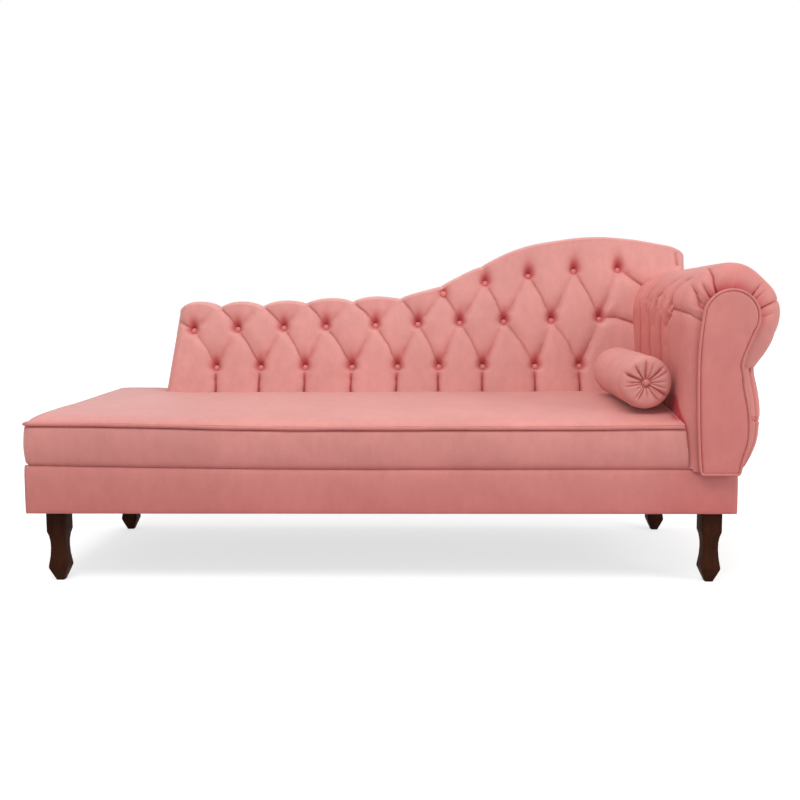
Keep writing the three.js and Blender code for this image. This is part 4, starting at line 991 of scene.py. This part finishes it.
def arm_tufting(button_s):
    """Creases of the arm's inner face, its roll and its front ring, over (y, distance along the outline)."""
    tuft = Tufting()

    def up(y, z):
        return (y, z - SOFT_BOTTOM)

    def over(y, degrees):
        return (y, button_s + math.radians(START_DEGREES - degrees) * ROLL_RADIUS)

    bases = [arm_button_base(i) for i in range(3)]
    b = [(base[1], button_s) for base in bases]
    # from the first button to the facing, and its brow down to the next pleat
    tuft.fold([b[0], up(100, 694), up(42, 690), up(10, 687), up(-4, 681)], (9, 7, 6, 5, 4), 12,
              (1, 4, 4, 4, 3))
    tuft.fold([b[0], up(146, 686), up(181, 668), up(196, 650), up(194, 600), up(185, 480), up(180, 330)],
              (10, 8, 7, 6, 6, 6, 5), 11, (1, 4, 4, 3, 2, 2, 2))
    # down the inner face
    tuft.fold([up(163, 662), up(149, 642), up(144, 590), up(138, 500), up(134, 330)], (1, 2, 2, 2, 2), 10,
              (0, 0.3, 0.4, 0.4, 0.2), 3)
    tuft.fold([up(246, 672), up(256, 643), up(254, 600), up(246, 500), up(240, 330)], (5, 11, 12, 11, 10), 16,
              (2, 7, 10, 10, 9), 2.2, 0.3, valley_shade=0.06)
    tuft.fold([b[1], up(333, 650), up(330, 600), up(322, 500), up(318, 330)], (12, 5, 2.5, 2, 2), 13,
              (2, 1.5, 0.5, 0.3, 0.3), 2.2)
    tuft.fold([up(394, 684), up(385, 640), up(379, 581), up(372, 495), up(368, 330)], (5, 11, 12, 11, 10), 16,
              (1, 6, 10, 10, 9), 2.2, 0.3, valley_shade=0.06)
    tuft.fold([b[2], up(440, 650), up(436, 560), up(432, 330)], (12, 4, 2.5, 2), 13, (2, 1.2, 0.4, 0.3), 2.2)
    tuft.fold([over(520, 168), up(505, 690), up(495, 636), up(490, 577), up(484, 488), up(480, 330)],
              (4, 10, 12, 11, 10, 9), 14, (1, 6, 10, 10, 9, 8), 2.2, 0.3, valley_shade=0.06)
    # over the roll
    tuft.fold([over(192, 166), over(165, 150), over(141, 137), over(88, 131), over(50, 127)],
              (2, 7, 7, 4, 0), 13, (0, 4, 5, 3.5, 0))
    tuft.fold([over(350, 167), over(337, 159.5), over(290, 151), over(271, 139.4), over(229, 132.4),
               over(190, 128)], (3, 6, 7, 6, 4, 0), 13, (0, 3, 4.5, 4.5, 3, 0))
    tuft.fold([over(522, 150), over(532, 136), over(550, 127), over(565, 118)], (3, 6, 5, 0), 12,
              (0, 3, 3, 0))
    tuft.fold([b[2], over(441, 162), over(428, 148), over(400, 136)], (12, 7, 4, 0), 12, (1, 2.5, 1.5, 0))
    tuft.fold([b[1], over(322, 166), over(316, 154)], (12, 6, 0), 12)
    tuft.fold([b[0], over(157, 163), over(150, 155)], (12, 6, 0), 12)
    tuft.fold([over(246, 176), over(236, 164), over(228, 154)], (5, 5, 0), 12, (0, 1, 0))
    tuft.fold([over(388, 176), over(384, 166), over(372, 154)], (5, 5, 0), 12, (0, 1, 0))
    # the ring between the roll and the facing's head: seams and small tucks
    for places, valley, reach, line in (
        (((30, 146), (9, 151), (-1, 158), (-4, 165)), (2, 5, 6, 5), 10, (1, 5, 5, 4)),
        (((70, 116), (30, 117), (8, 119), (-4, 124)), (0, 3, 4, 5), 9, (0, 4, 6, 6)),
        (((48, 13), (24, 14.5), (6, 17), (-4, 20)), (0, 2, 3.5, 5), 9, (1.5, 2.5, 5, 6)),
    ):
        tuft.fold([over(*place) for place in places], valley, reach, line, 1.8, 0.07)
    for degrees, far, deep in ((137, 12, 6), (86, 7, 1.6), (47, 20, 6), (37, 14, 3.5), (3, 8, 2.5)):
        tuft.fold([over(far, degrees - 2), over(far * 0.3, degrees), over(-4, degrees + 2)],
                  (0, deep * 0.7, deep), 8, (0, deep * 0.4, deep * 0.7), 1.8)
    for i, base in enumerate(bases):
        deep = ROLL_RADIUS - math.hypot(base[0] - ROLL_X, base[2] - ROLL_Z) + 1.0
        tuft.hollow(b[i], deep, 10, up=1.5, down=0.9, painted_shade=(0.85, 0.6, 0.6)[i])
    return tuft


def towards_rear(reach, last, count):
    """Places from front to rear, closest together on the rounded front and at the rounded rear edge."""
    return np.unique(np.r_[FRONT_OF_ARM + reach * (1 - np.cos(np.linspace(0, math.pi / 2, 30))),
                           np.linspace(reach - 4, last, count)[1:], np.linspace(last, REAR_FACE - 9, 20),
                           REAR_FACE - REAR_ROUND * (1 - np.sin(np.linspace(0, math.pi / 2, 7)))])


def sweep_arm(name, outer, target, inner, reach, last, count, depth_of, instead, fill):
    """A padded skin swept from the facing to the rear. outer is its outline, target the facing's edge and
    inner its inside. The front is rounded over reach. Up to last the rings are close, count of them."""
    ahead = np.gradient(outer, axis=0)
    normal = np.stack([-ahead[:, 1], ahead[:, 0]], -1) / np.linalg.norm(ahead, axis=1)[:, None]
    rows, dark = [], []
    for y in towards_rear(reach, last, count):
        t = np.clip(1 - (y - FRONT_OF_ARM) / reach, 0, 1)
        pull = 1 - math.sqrt(1 - t * t)
        r = np.clip(1 - (REAR_FACE - y) / REAR_ROUND, 0, 1)
        inset = REAR_ROUND * (1 - math.sqrt(1 - r * r))
        depth, shade = depth_of(y)
        line = mix(outer, target, pull) - normal * (depth * (1 - pull) + inset)[:, None]
        ring = np.vstack([line, inner[::-1]])
        back = np.r_[np.maximum(depth, 0) * t, np.zeros(len(inner))]
        rows.append(np.c_[ring[:, 0], y + back, ring[:, 1]])
        dark.append(np.r_[shade, np.zeros(len(inner))])
    rings = np.array(rows)
    rings[:, :, 2] = np.maximum(rings[:, :, 2], SOFT_BOTTOM)
    # its front edge reaches down behind the facing's foot
    near_foot = np.clip(1 - (rings[:, :, 2] - SOFT_BOTTOM) / 20, 0, 1)
    rings[:, :, 2] -= 8 * smooth(-0.2, -1.5, rings[:, :, 1]) * near_foot
    piece(name, *lofted(rings), cloth, instead=instead, fill=fill, shade=np.array(dark))


# how thick the padding is where it meets the facing
SKIN = 9.0


def nearest_to(spot, path):
    return np.argmin(np.hypot(*(path - spot).T))


def arm():
    up = np.linspace(SOFT_BOTTOM, STRAIGHT_TOP, 150)
    roll = on_circle(ROLL_X, ROLL_Z, ROLL_RADIUS, np.linspace(START_DEGREES, END_DEGREES, 320))
    inner_side = np.c_[mix(ARM_INNER, roll[0, 0], smooth(ROLL_Z - 60, STRAIGHT_TOP, up)), up]
    tail = smooth_curve([roll[-12], roll[-1]] + roll_tail + [(BASE_LENGTH + NECK_PROUD, NECK_Z)], 90)
    tail = tail[nearest_to(roll[-1], tail) + 1:]
    outer = np.vstack([inner_side, roll[1:], tail])
    lengths = passed_at(outer)
    button_s = lengths[len(inner_side) - 1]
    # where each outline point meets the facing's edge
    edge = facing_outline(900)
    edge = edge[edge[:, 1] > SOFT_BOTTOM]
    head, head_end = (nearest_to(spot, edge) for spot in (facing_head[0], facing_head[-1]))
    neck = head_end + np.argmin(np.abs(edge[head_end:head_end + 200, 1] - NECK_Z - 6))
    target = np.vstack([evenly(edge[:head + 1], len(up)), evenly(edge[head:head_end + 1], len(roll))[1:],
                        evenly(edge[head_end:neck + 1], len(tail) + 1)[1:]])
    middle = np.array([HEAD_X, HEAD_Z])
    inner = target + (middle - target) / np.linalg.norm(middle - target, axis=1)[:, None] * SKIN
    inner[:len(up)] = target[:len(up)] + (SKIN, 0)
    inner[-len(tail):] = target[-len(tail):] - (SKIN, 0)
    tuft = arm_tufting(button_s)

    def depth_of(y):
        spread = np.full(lengths.shape, float(y))
        depth, puff, dark = tuft.depth(spread, lengths)
        depth = depth - 2.0 * puff - 0.7 * ripple(spread, lengths, 140, 61)
        degrees = START_DEGREES - np.degrees((lengths - button_s) / ROLL_RADIUS)
        depth += 1.5 + 8 * np.exp(-((degrees - 46) / 24) ** 2)
        left = lengths[-1] - lengths
        # the roll is drawn in at the neck seam
        depth += 2.5 * np.exp(-left / 9) + 0.8 * np.exp(-left / 45) * np.sin(y / 9.5 + 2.2 * np.sin(y / 61))
        # painted shade over the inner face below the buttons
        inner_face = 0.1 * smooth(button_s + 20, button_s - 70, lengths)
        # deep shade in the corner between the bolster, the seat and this face
        brim = min(412 + 1.4 * (y - 4), 480) - SOFT_BOTTOM
        foot = 0.9 * smooth(brim + 13, brim - 12, lengths) * smooth(3, 12, y) * smooth(160, 90, y)
        foot = foot * smooth(SEAT_HEIGHT - 34, SEAT_HEIGHT - 10, lengths + SOFT_BOTTOM)
        # shade where the ring turns in behind the facing's head
        reach = np.clip(1 - (y - FRONT_OF_ARM) / FRONT_ROUND, 0, 1)
        ring = 0.72 * math.exp(-(1 - reach ** 2) / 0.13)
        ring = ring * smooth(158, 118, degrees) * smooth(-45, 10, degrees)
        # painted shade from the creases and hollows, the ring, the inner face and along the neck seam
        painted = np.clip(dark + ring + inner_face + 0.5 * np.exp(-left / 4), 0, DARKEST_PAINTED_SHADE)
        return depth, np.maximum(painted, foot)

    sweep_arm("arm_pad_soft", outer, target, inner, FRONT_ROUND, 560, 300, depth_of, "arm_pad", 0.8)


arm()

for i in range(3):
    button(f"arm_button_{i + 1}_covered", arm_button_base(i), BUTTON_FACING, instead=f"arm_button_{i + 1}",
           seed=300 + i)


def outer_panel():
    outer = smooth_curve(outer_side(SOFT_BOTTOM), 150)
    outer[:, 1] = np.clip(outer[:, 1], SOFT_BOTTOM, NECK_Z - 0.3)
    edge = facing_outline(900)[450:]
    edge = edge[(edge[:, 1] < NECK_Z + 2) & (edge[:, 1] > SOFT_BOTTOM)]
    target = read_off(np.linspace(0, 1, len(outer)), np.linspace(0, 1, len(edge)), edge)
    target[:, 1] = np.clip(target[:, 1], SOFT_BOTTOM, NECK_Z - 0.3)
    inner = target - (SKIN, 0)
    s = passed_at(outer)
    # the upper edge is tucked up behind the neck seam
    tuck = 8
    for line, far, near in ((outer, 16, 2), (target, 6, 1)):
        line[:tuck, 0] = line[tuck, 0] - np.linspace(far, near, tuck)
        line[:tuck, 1] = NECK_Z + np.linspace(11, 5, tuck)

    def depth_of(y):
        depth = 1.0 - 0.9 * ripple(y, s, 150, 71) - 0.4 * ripple(y, s * 0.4, 40, 72)
        depth += 2.5 * np.exp(-s / 6) + 1.5 * np.exp(-(s[-1] - s) / 8)
        crease = 3.4 * np.exp(-((s - 128 - 0.06 * y) / 2.4) ** 2)
        crease = (crease + 2.4 * np.exp(-((s - 121 - 0.03 * y) / 2.0) ** 2)) * smooth(70, 10, y)
        seam = 3.5 * math.exp(-((y - 5) / 2.2) ** 2)
        depth += crease + seam
        gathers = 0.9 * np.exp(-s / 40) * np.sin(y / 8.7 + 2.0 * np.sin(y / 57))
        # painted shade along the creases and the seam, and at the tucked upper edge
        return depth + gathers, np.clip(crease / 7 + seam / 8 + 0.5 * np.exp(-s / 4), 0, 0.6)

    sweep_arm("arm_outer_soft", outer, target, inner, 40.0, 640, 150, depth_of, "arm_outer_panel", 0.7)


outer_panel()


def facing_welt_path(y):
    """The facing's edge as a closed ring, its lower corners eased, and a little outside it."""
    line = facing_outline(280)
    bottom = np.linspace(line[-1], line[0], 40)[1:-1]
    bottom[:, 1] -= 1.5 * np.sin(np.linspace(0, math.pi, 38))
    ring = np.vstack([line, bottom])
    for _ in range(10):
        ring = (np.roll(ring, 1, 0) + ring * 2 + np.roll(ring, -1, 0)) / 4
    ahead = np.roll(ring, -1, 0) - np.roll(ring, 1, 0)
    normal = np.stack([ahead[:, 1], -ahead[:, 0]], -1) / np.linalg.norm(ahead, axis=1)[:, None]
    ring = ring - normal * 3.1
    return np.c_[ring[:, 0], np.full(len(ring), y), np.maximum(ring[:, 1], FACING_FOOT)]


def facing():
    line = facing_outline(281)
    middle = len(line) // 2
    # rows of points across it, closer together at its foot and at its top
    spots = np.r_[0, 0.1, 0.25, 0.45, 0.7, np.arange(1, middle - 2), middle - np.r_[1.4, 0.9, 0.5, 0.2, 0]]
    left, right = (read_off(spots, np.arange(len(line)), side) for side in (line, line[::-1]))
    across = (1 - np.cos(np.linspace(0, math.pi, 41))) / 2
    face = mix(left[:, None], right[:, None], across[None, :, None])
    edge = np.vstack([line, mix(line[:1], line[-1:], np.linspace(0, 1, 30)[:, None])])
    away = np.sqrt(((face.reshape(-1, 1, 2) - edge[None]) ** 2).sum(-1)).min(1).reshape(face.shape[:2])
    away[[0, -1]] = 0
    away[:, [0, -1]] = 0
    edge_radius = 6.0
    t = np.clip(1 - away / edge_radius, 0, 1)
    x, z = face[..., 0], face[..., 1]
    y = FACING_Y + edge_radius * (1 - np.sqrt(1 - t * t)) + 1.3 * np.exp(-away / 14)
    y = y + 0.35 * ripple(x, z, 120, 81)
    front = np.stack([x, y, z], -1).reshape(-1, 3)
    back = np.stack([x, np.full(x.shape, FACING_BACK), z], -1).reshape(-1, 3)
    low_share = 1 - np.clip((z - SOFT_BOTTOM) / (HEAD_Z - SOFT_BOTTOM), 0, 1)
    # painted shade in the groove beside the welt, less at the head, and darker towards the foot, over a
    # slightly deeper tone all over
    groove = 0.45 * np.exp(-away / 3) * (0.15 + 0.85 * smooth(HEAD_Z + 30, HEAD_Z - 60, z))
    dark = (groove + 0.05 + 0.16 * low_share ** 0.7).ravel()
    piece("arm_facing_soft", *slab(front, back, grid_faces(*x.shape)), cloth, instead="arm_front_panel",
          fill=0.9, shade=np.r_[dark, 0 * dark])
    sides = 14
    rings = tube_points(facing_welt_path(FACING_Y + 3.5), 3.4, sides, closed=True)
    faces = grid_faces(len(rings) + 1, sides, closed=True)
    faces = [[v % (len(rings) * sides) for v in face] for face in faces]
    piece("arm_facing_welt", rings.reshape(-1, 3), faces, welt_cloth, "piping", instead="arm_panel_piping")


facing()


# Rear cover: one panel over the rear of the base, the back and the arm

def rear_cover():
    inset = 12
    crest_line = [(x, float(back_top(x)) - TOP_RADIUS * 0.75)
                  for x in np.linspace(LEFT_TOP + 2 * inset, BACK_RIGHT - inset, 240)]
    arm_line = on_circle(ROLL_X, ROLL_Z, ROLL_RADIUS - inset, np.linspace(60, END_DEGREES, 40)).tolist()
    arm_line += [(x - inset, z) for x, z in roll_tail]
    side = [(x - inset, z) for x, z in outer_side(DECK_TOP)]
    seat_foot = [(x, DECK_TOP - 1 + fold_rise(x)) for x in (1, BACK_LEFT / 2, BACK_LEFT + 2)]
    outline = [(1, BASE_BOTTOM + 1)] + seat_foot + [(BACK_LEFT + 3, FACE_Z), (LEFT_TOP + 10, BACK_LOW - 38)]
    outline += crest_line
    outline += [p for p in arm_line if p[1] < crest_line[-1][1] or p[0] > BACK_RIGHT - inset]
    outline += side[:-1] + [(BASE_LENGTH - 1, DECK_TOP - 1), (BASE_LENGTH - 1, BASE_BOTTOM + 1)]
    bm = bmesh.new()
    verts = [bm.verts.new((x, 0, z)) for x, z in resample(np.array(outline + [outline[0]]), 9)[:-1]]
    edges = [bm.edges.new((verts[i], verts[(i + 1) % len(verts)])) for i in range(len(verts))]
    bmesh.ops.triangle_fill(bm, edges=edges, use_beauty=True)
    long_edges = [e for e in bm.edges if not e.is_boundary and e.calc_length() > 60]
    bmesh.ops.subdivide_edges(bm, edges=long_edges, cuts=4, use_grid_fill=True)
    bmesh.ops.triangulate(bm, faces=bm.faces)
    boundary = {v for e in bm.edges if e.is_boundary for v in e.verts}
    bm.verts.index_update()
    coordinates = np.array([v.co[:] for v in bm.verts])
    rim = np.array([v in boundary for v in bm.verts])
    faces = [[v.index for v in face.verts] for face in bm.faces]
    bm.free()
    back, front = coordinates.copy(), coordinates.copy()
    back[:, 1] = BASE_DEPTH - np.where(rim, 0.8, 0.0)
    front[:, 1] = REAR_FACE + 0.3
    piece("rear_panel_cloth", *slab(back, front, faces), cloth, instead="rear_cover", flat=True)


rear_cover()


# Bolster: a stuffed roll whose ends are gathered in to a covered button

# share of the radius, millimetres in from the end
BOLSTER_END = [(0.11, 9.5), (0.135, 10.5), (0.17, 9), (0.22, 6.4), (0.3, 3.6), (0.4, 1.7), (0.52, 0.6),
               (0.64, 0.3), (0.74, 1), (0.82, 2.8), (0.885, 5.6), (0.935, 9.6), (0.97, 15), (0.99, 22),
               (1, 32)]


def bolster():
    length, radius, slope, end_depth = 400.0, 68.0, math.radians(1.4), 33
    centre = middle_of("bolster")
    angles = np.arange(288) / 288 * math.tau
    rng = np.random.default_rng(7)
    folds = 20
    spots = (np.arange(folds) + rng.uniform(-0.42, 0.42, folds)) / folds * math.tau
    strength = rng.uniform(0.45, 1.35, folds)
    reach = rng.uniform(0.55, 1.0, folds)
    twist = rng.uniform(-0.22, 0.22, folds)

    def gather(across, angle):
        """Depth of the gathers at a share of the radius and an angle."""
        total = 0 * angle
        for spot, strong, far, turn in zip(spots, strength, reach, twist):
            away = (angle - spot - turn * across + math.pi) % math.tau - math.pi
            wide = 0.045 + 0.03 * across
            fade = smooth(far + 0.06, far - 0.22, across) * smooth(0.08, 0.2, across)
            total += strong * fade * np.exp(-np.abs(away / wide) ** 1.3)
        return total

    rings, dark = [], []

    def ring(r, y, shade):
        rings.append(np.stack(np.broadcast_arrays(np.cos(angles) * r, y, np.sin(angles) * r), -1))
        dark.append(shade + 0 * angles)

    def end_ring(across, along, rear):
        fold = gather(across, angles + 1.3 if rear else angles)
        y = along + 7.0 * fold * min(1.0, 0.4 + across)
        r = radius * across - 2.0 * fold * smooth(0.75, 1.0, across) * smooth(1.02, 0.96, across)
        # painted shade in the gathers and towards the button, and a little over the whole end
        shade = np.clip(fold * 0.5, 0, 0.85) + 0.15 * max(0.0, 1 - across / 0.4) + 0.06
        ring(r, length - y if rear else y, shade)

    end = [(0.02, 12.0)] + smooth_curve(BOLSTER_END, 60).tolist()
    for across, along in end:
        end_ring(across, along, False)
    for share in np.linspace(0, 1, 70)[1:-1]:
        along = mix(end_depth, length - end_depth, share)
        swell = 0.6 * math.sin(math.pi * share) + 0.5 * ripple(along, angles * radius, 130, 91)
        ring(radius - 0.8 + swell, along, 0.0)
    for across, along in end[::-1]:
        end_ring(across, along, True)
    c, s = math.cos(slope), math.sin(slope)
    placed = (np.array(rings) - (0, length / 2, 0)) @ np.array([[1, 0, 0], [0, c, s], [0, -s, c]]) + centre
    piece("bolster_soft", *lofted(placed), bolster_cloth_painted_lighter, body="bolster", instead="bolster", fill=0.85,
          shade=np.array(dark))
    for sign, name in ((-1, "front"), (1, "rear")):
        facing = np.array([0, sign * c, sign * s])
        base = centre + facing * (length / 2 - 8.5)
        button(f"bolster_{name}_button", base, facing, radius=8.6, body="bolster", seed=400 + sign)


bolster()


# Floor, light and camera

def floor():
    bpy.ops.mesh.primitive_plane_add(size=60, location=(0, 0, 0))
    obj = bpy.context.active_object
    obj.name = "floor"
    n = Surface("floor_white")
    n.finish(Base_Color=grey(0.62), Roughness=0.9, Specular_IOR_Level=0.0)
    # the camera sees it run into the white around it
    away = n.new("VectorMath", {0: n.place}, operation="LENGTH").outputs["Value"]
    limits = {"Value": away, "From Min": 1.2, "From Max": 3.2, "To Min": 0.69, "To Max": 1.0}
    level = n.new("MapRange", limits, interpolation_type="SMOOTHSTEP").outputs["Result"]
    emit = n.new("Emission", {"Strength": n.maths("MULTIPLY", n.seen(), level)})
    add = n.new("AddShader", {0: n.shader.outputs[0], 1: emit.outputs[0]})
    n.put(n.tree.nodes["Material Output"], {"Surface": add.outputs[0]})
    obj.data.materials.append(n.owner)


floor()

bpy.context.scene.world = bpy.data.worlds.new("studio")
studio = Nodes(bpy.context.scene.world)
level = studio.new("MapRange", {"Value": studio.seen(), "To Min": 0.4, "To Max": 1.0}).outputs["Result"]
studio.put(studio.tree.nodes["Background"], {"Strength": level, "Color": grey(1)})


def lamp(name, place, target, size, power):
    light = bpy.data.lights.new(name, "AREA")
    light.shape = "RECTANGLE"
    light.size, light.size_y = size
    light.energy = power
    obj = linked(name, light)
    obj.location = place
    obj.rotation_euler = (Vector(target) - Vector(place)).to_track_quat("-Z", "Y").to_euler()


lamp("key", (-0.6, -2.0, 3.7), (0, 0, 0.5), (3.0, 1.8), 84)
lamp("fill", (3.3, -1.7, 1.6), (0.3, 0, 0.5), (2.0, 2.0), 36)
lamp("top", (0.1, 0.6, 3.4), (0, 0, 0.4), (3.2, 1.6), 19)

# The camera of the photograph, worked out from the couch's edges in it
yaw, pitch, roll = -0.0305, -0.0911, -0.0057
focal_pixels, photo_width = 940.9, 800
camera = linked("camera", bpy.data.cameras.new("camera"))
camera.data.sensor_width = 36
camera.data.lens = focal_pixels * 36 / photo_width
camera.data.clip_end = 100
place = Vector((1.0302, -2.3379, 0.6879)) + Vector(ORIGIN.tolist())
turn = Matrix.Rotation(-yaw, 4, "Z") @ Matrix.Rotation(math.pi / 2 + pitch, 4, "X")
camera.matrix_world = Matrix.Translation(place) @ turn @ Matrix.Rotation(roll, 4, "Z")
bpy.context.scene.camera = camera
bpy.context.scene.view_settings.view_transform = "Standard"
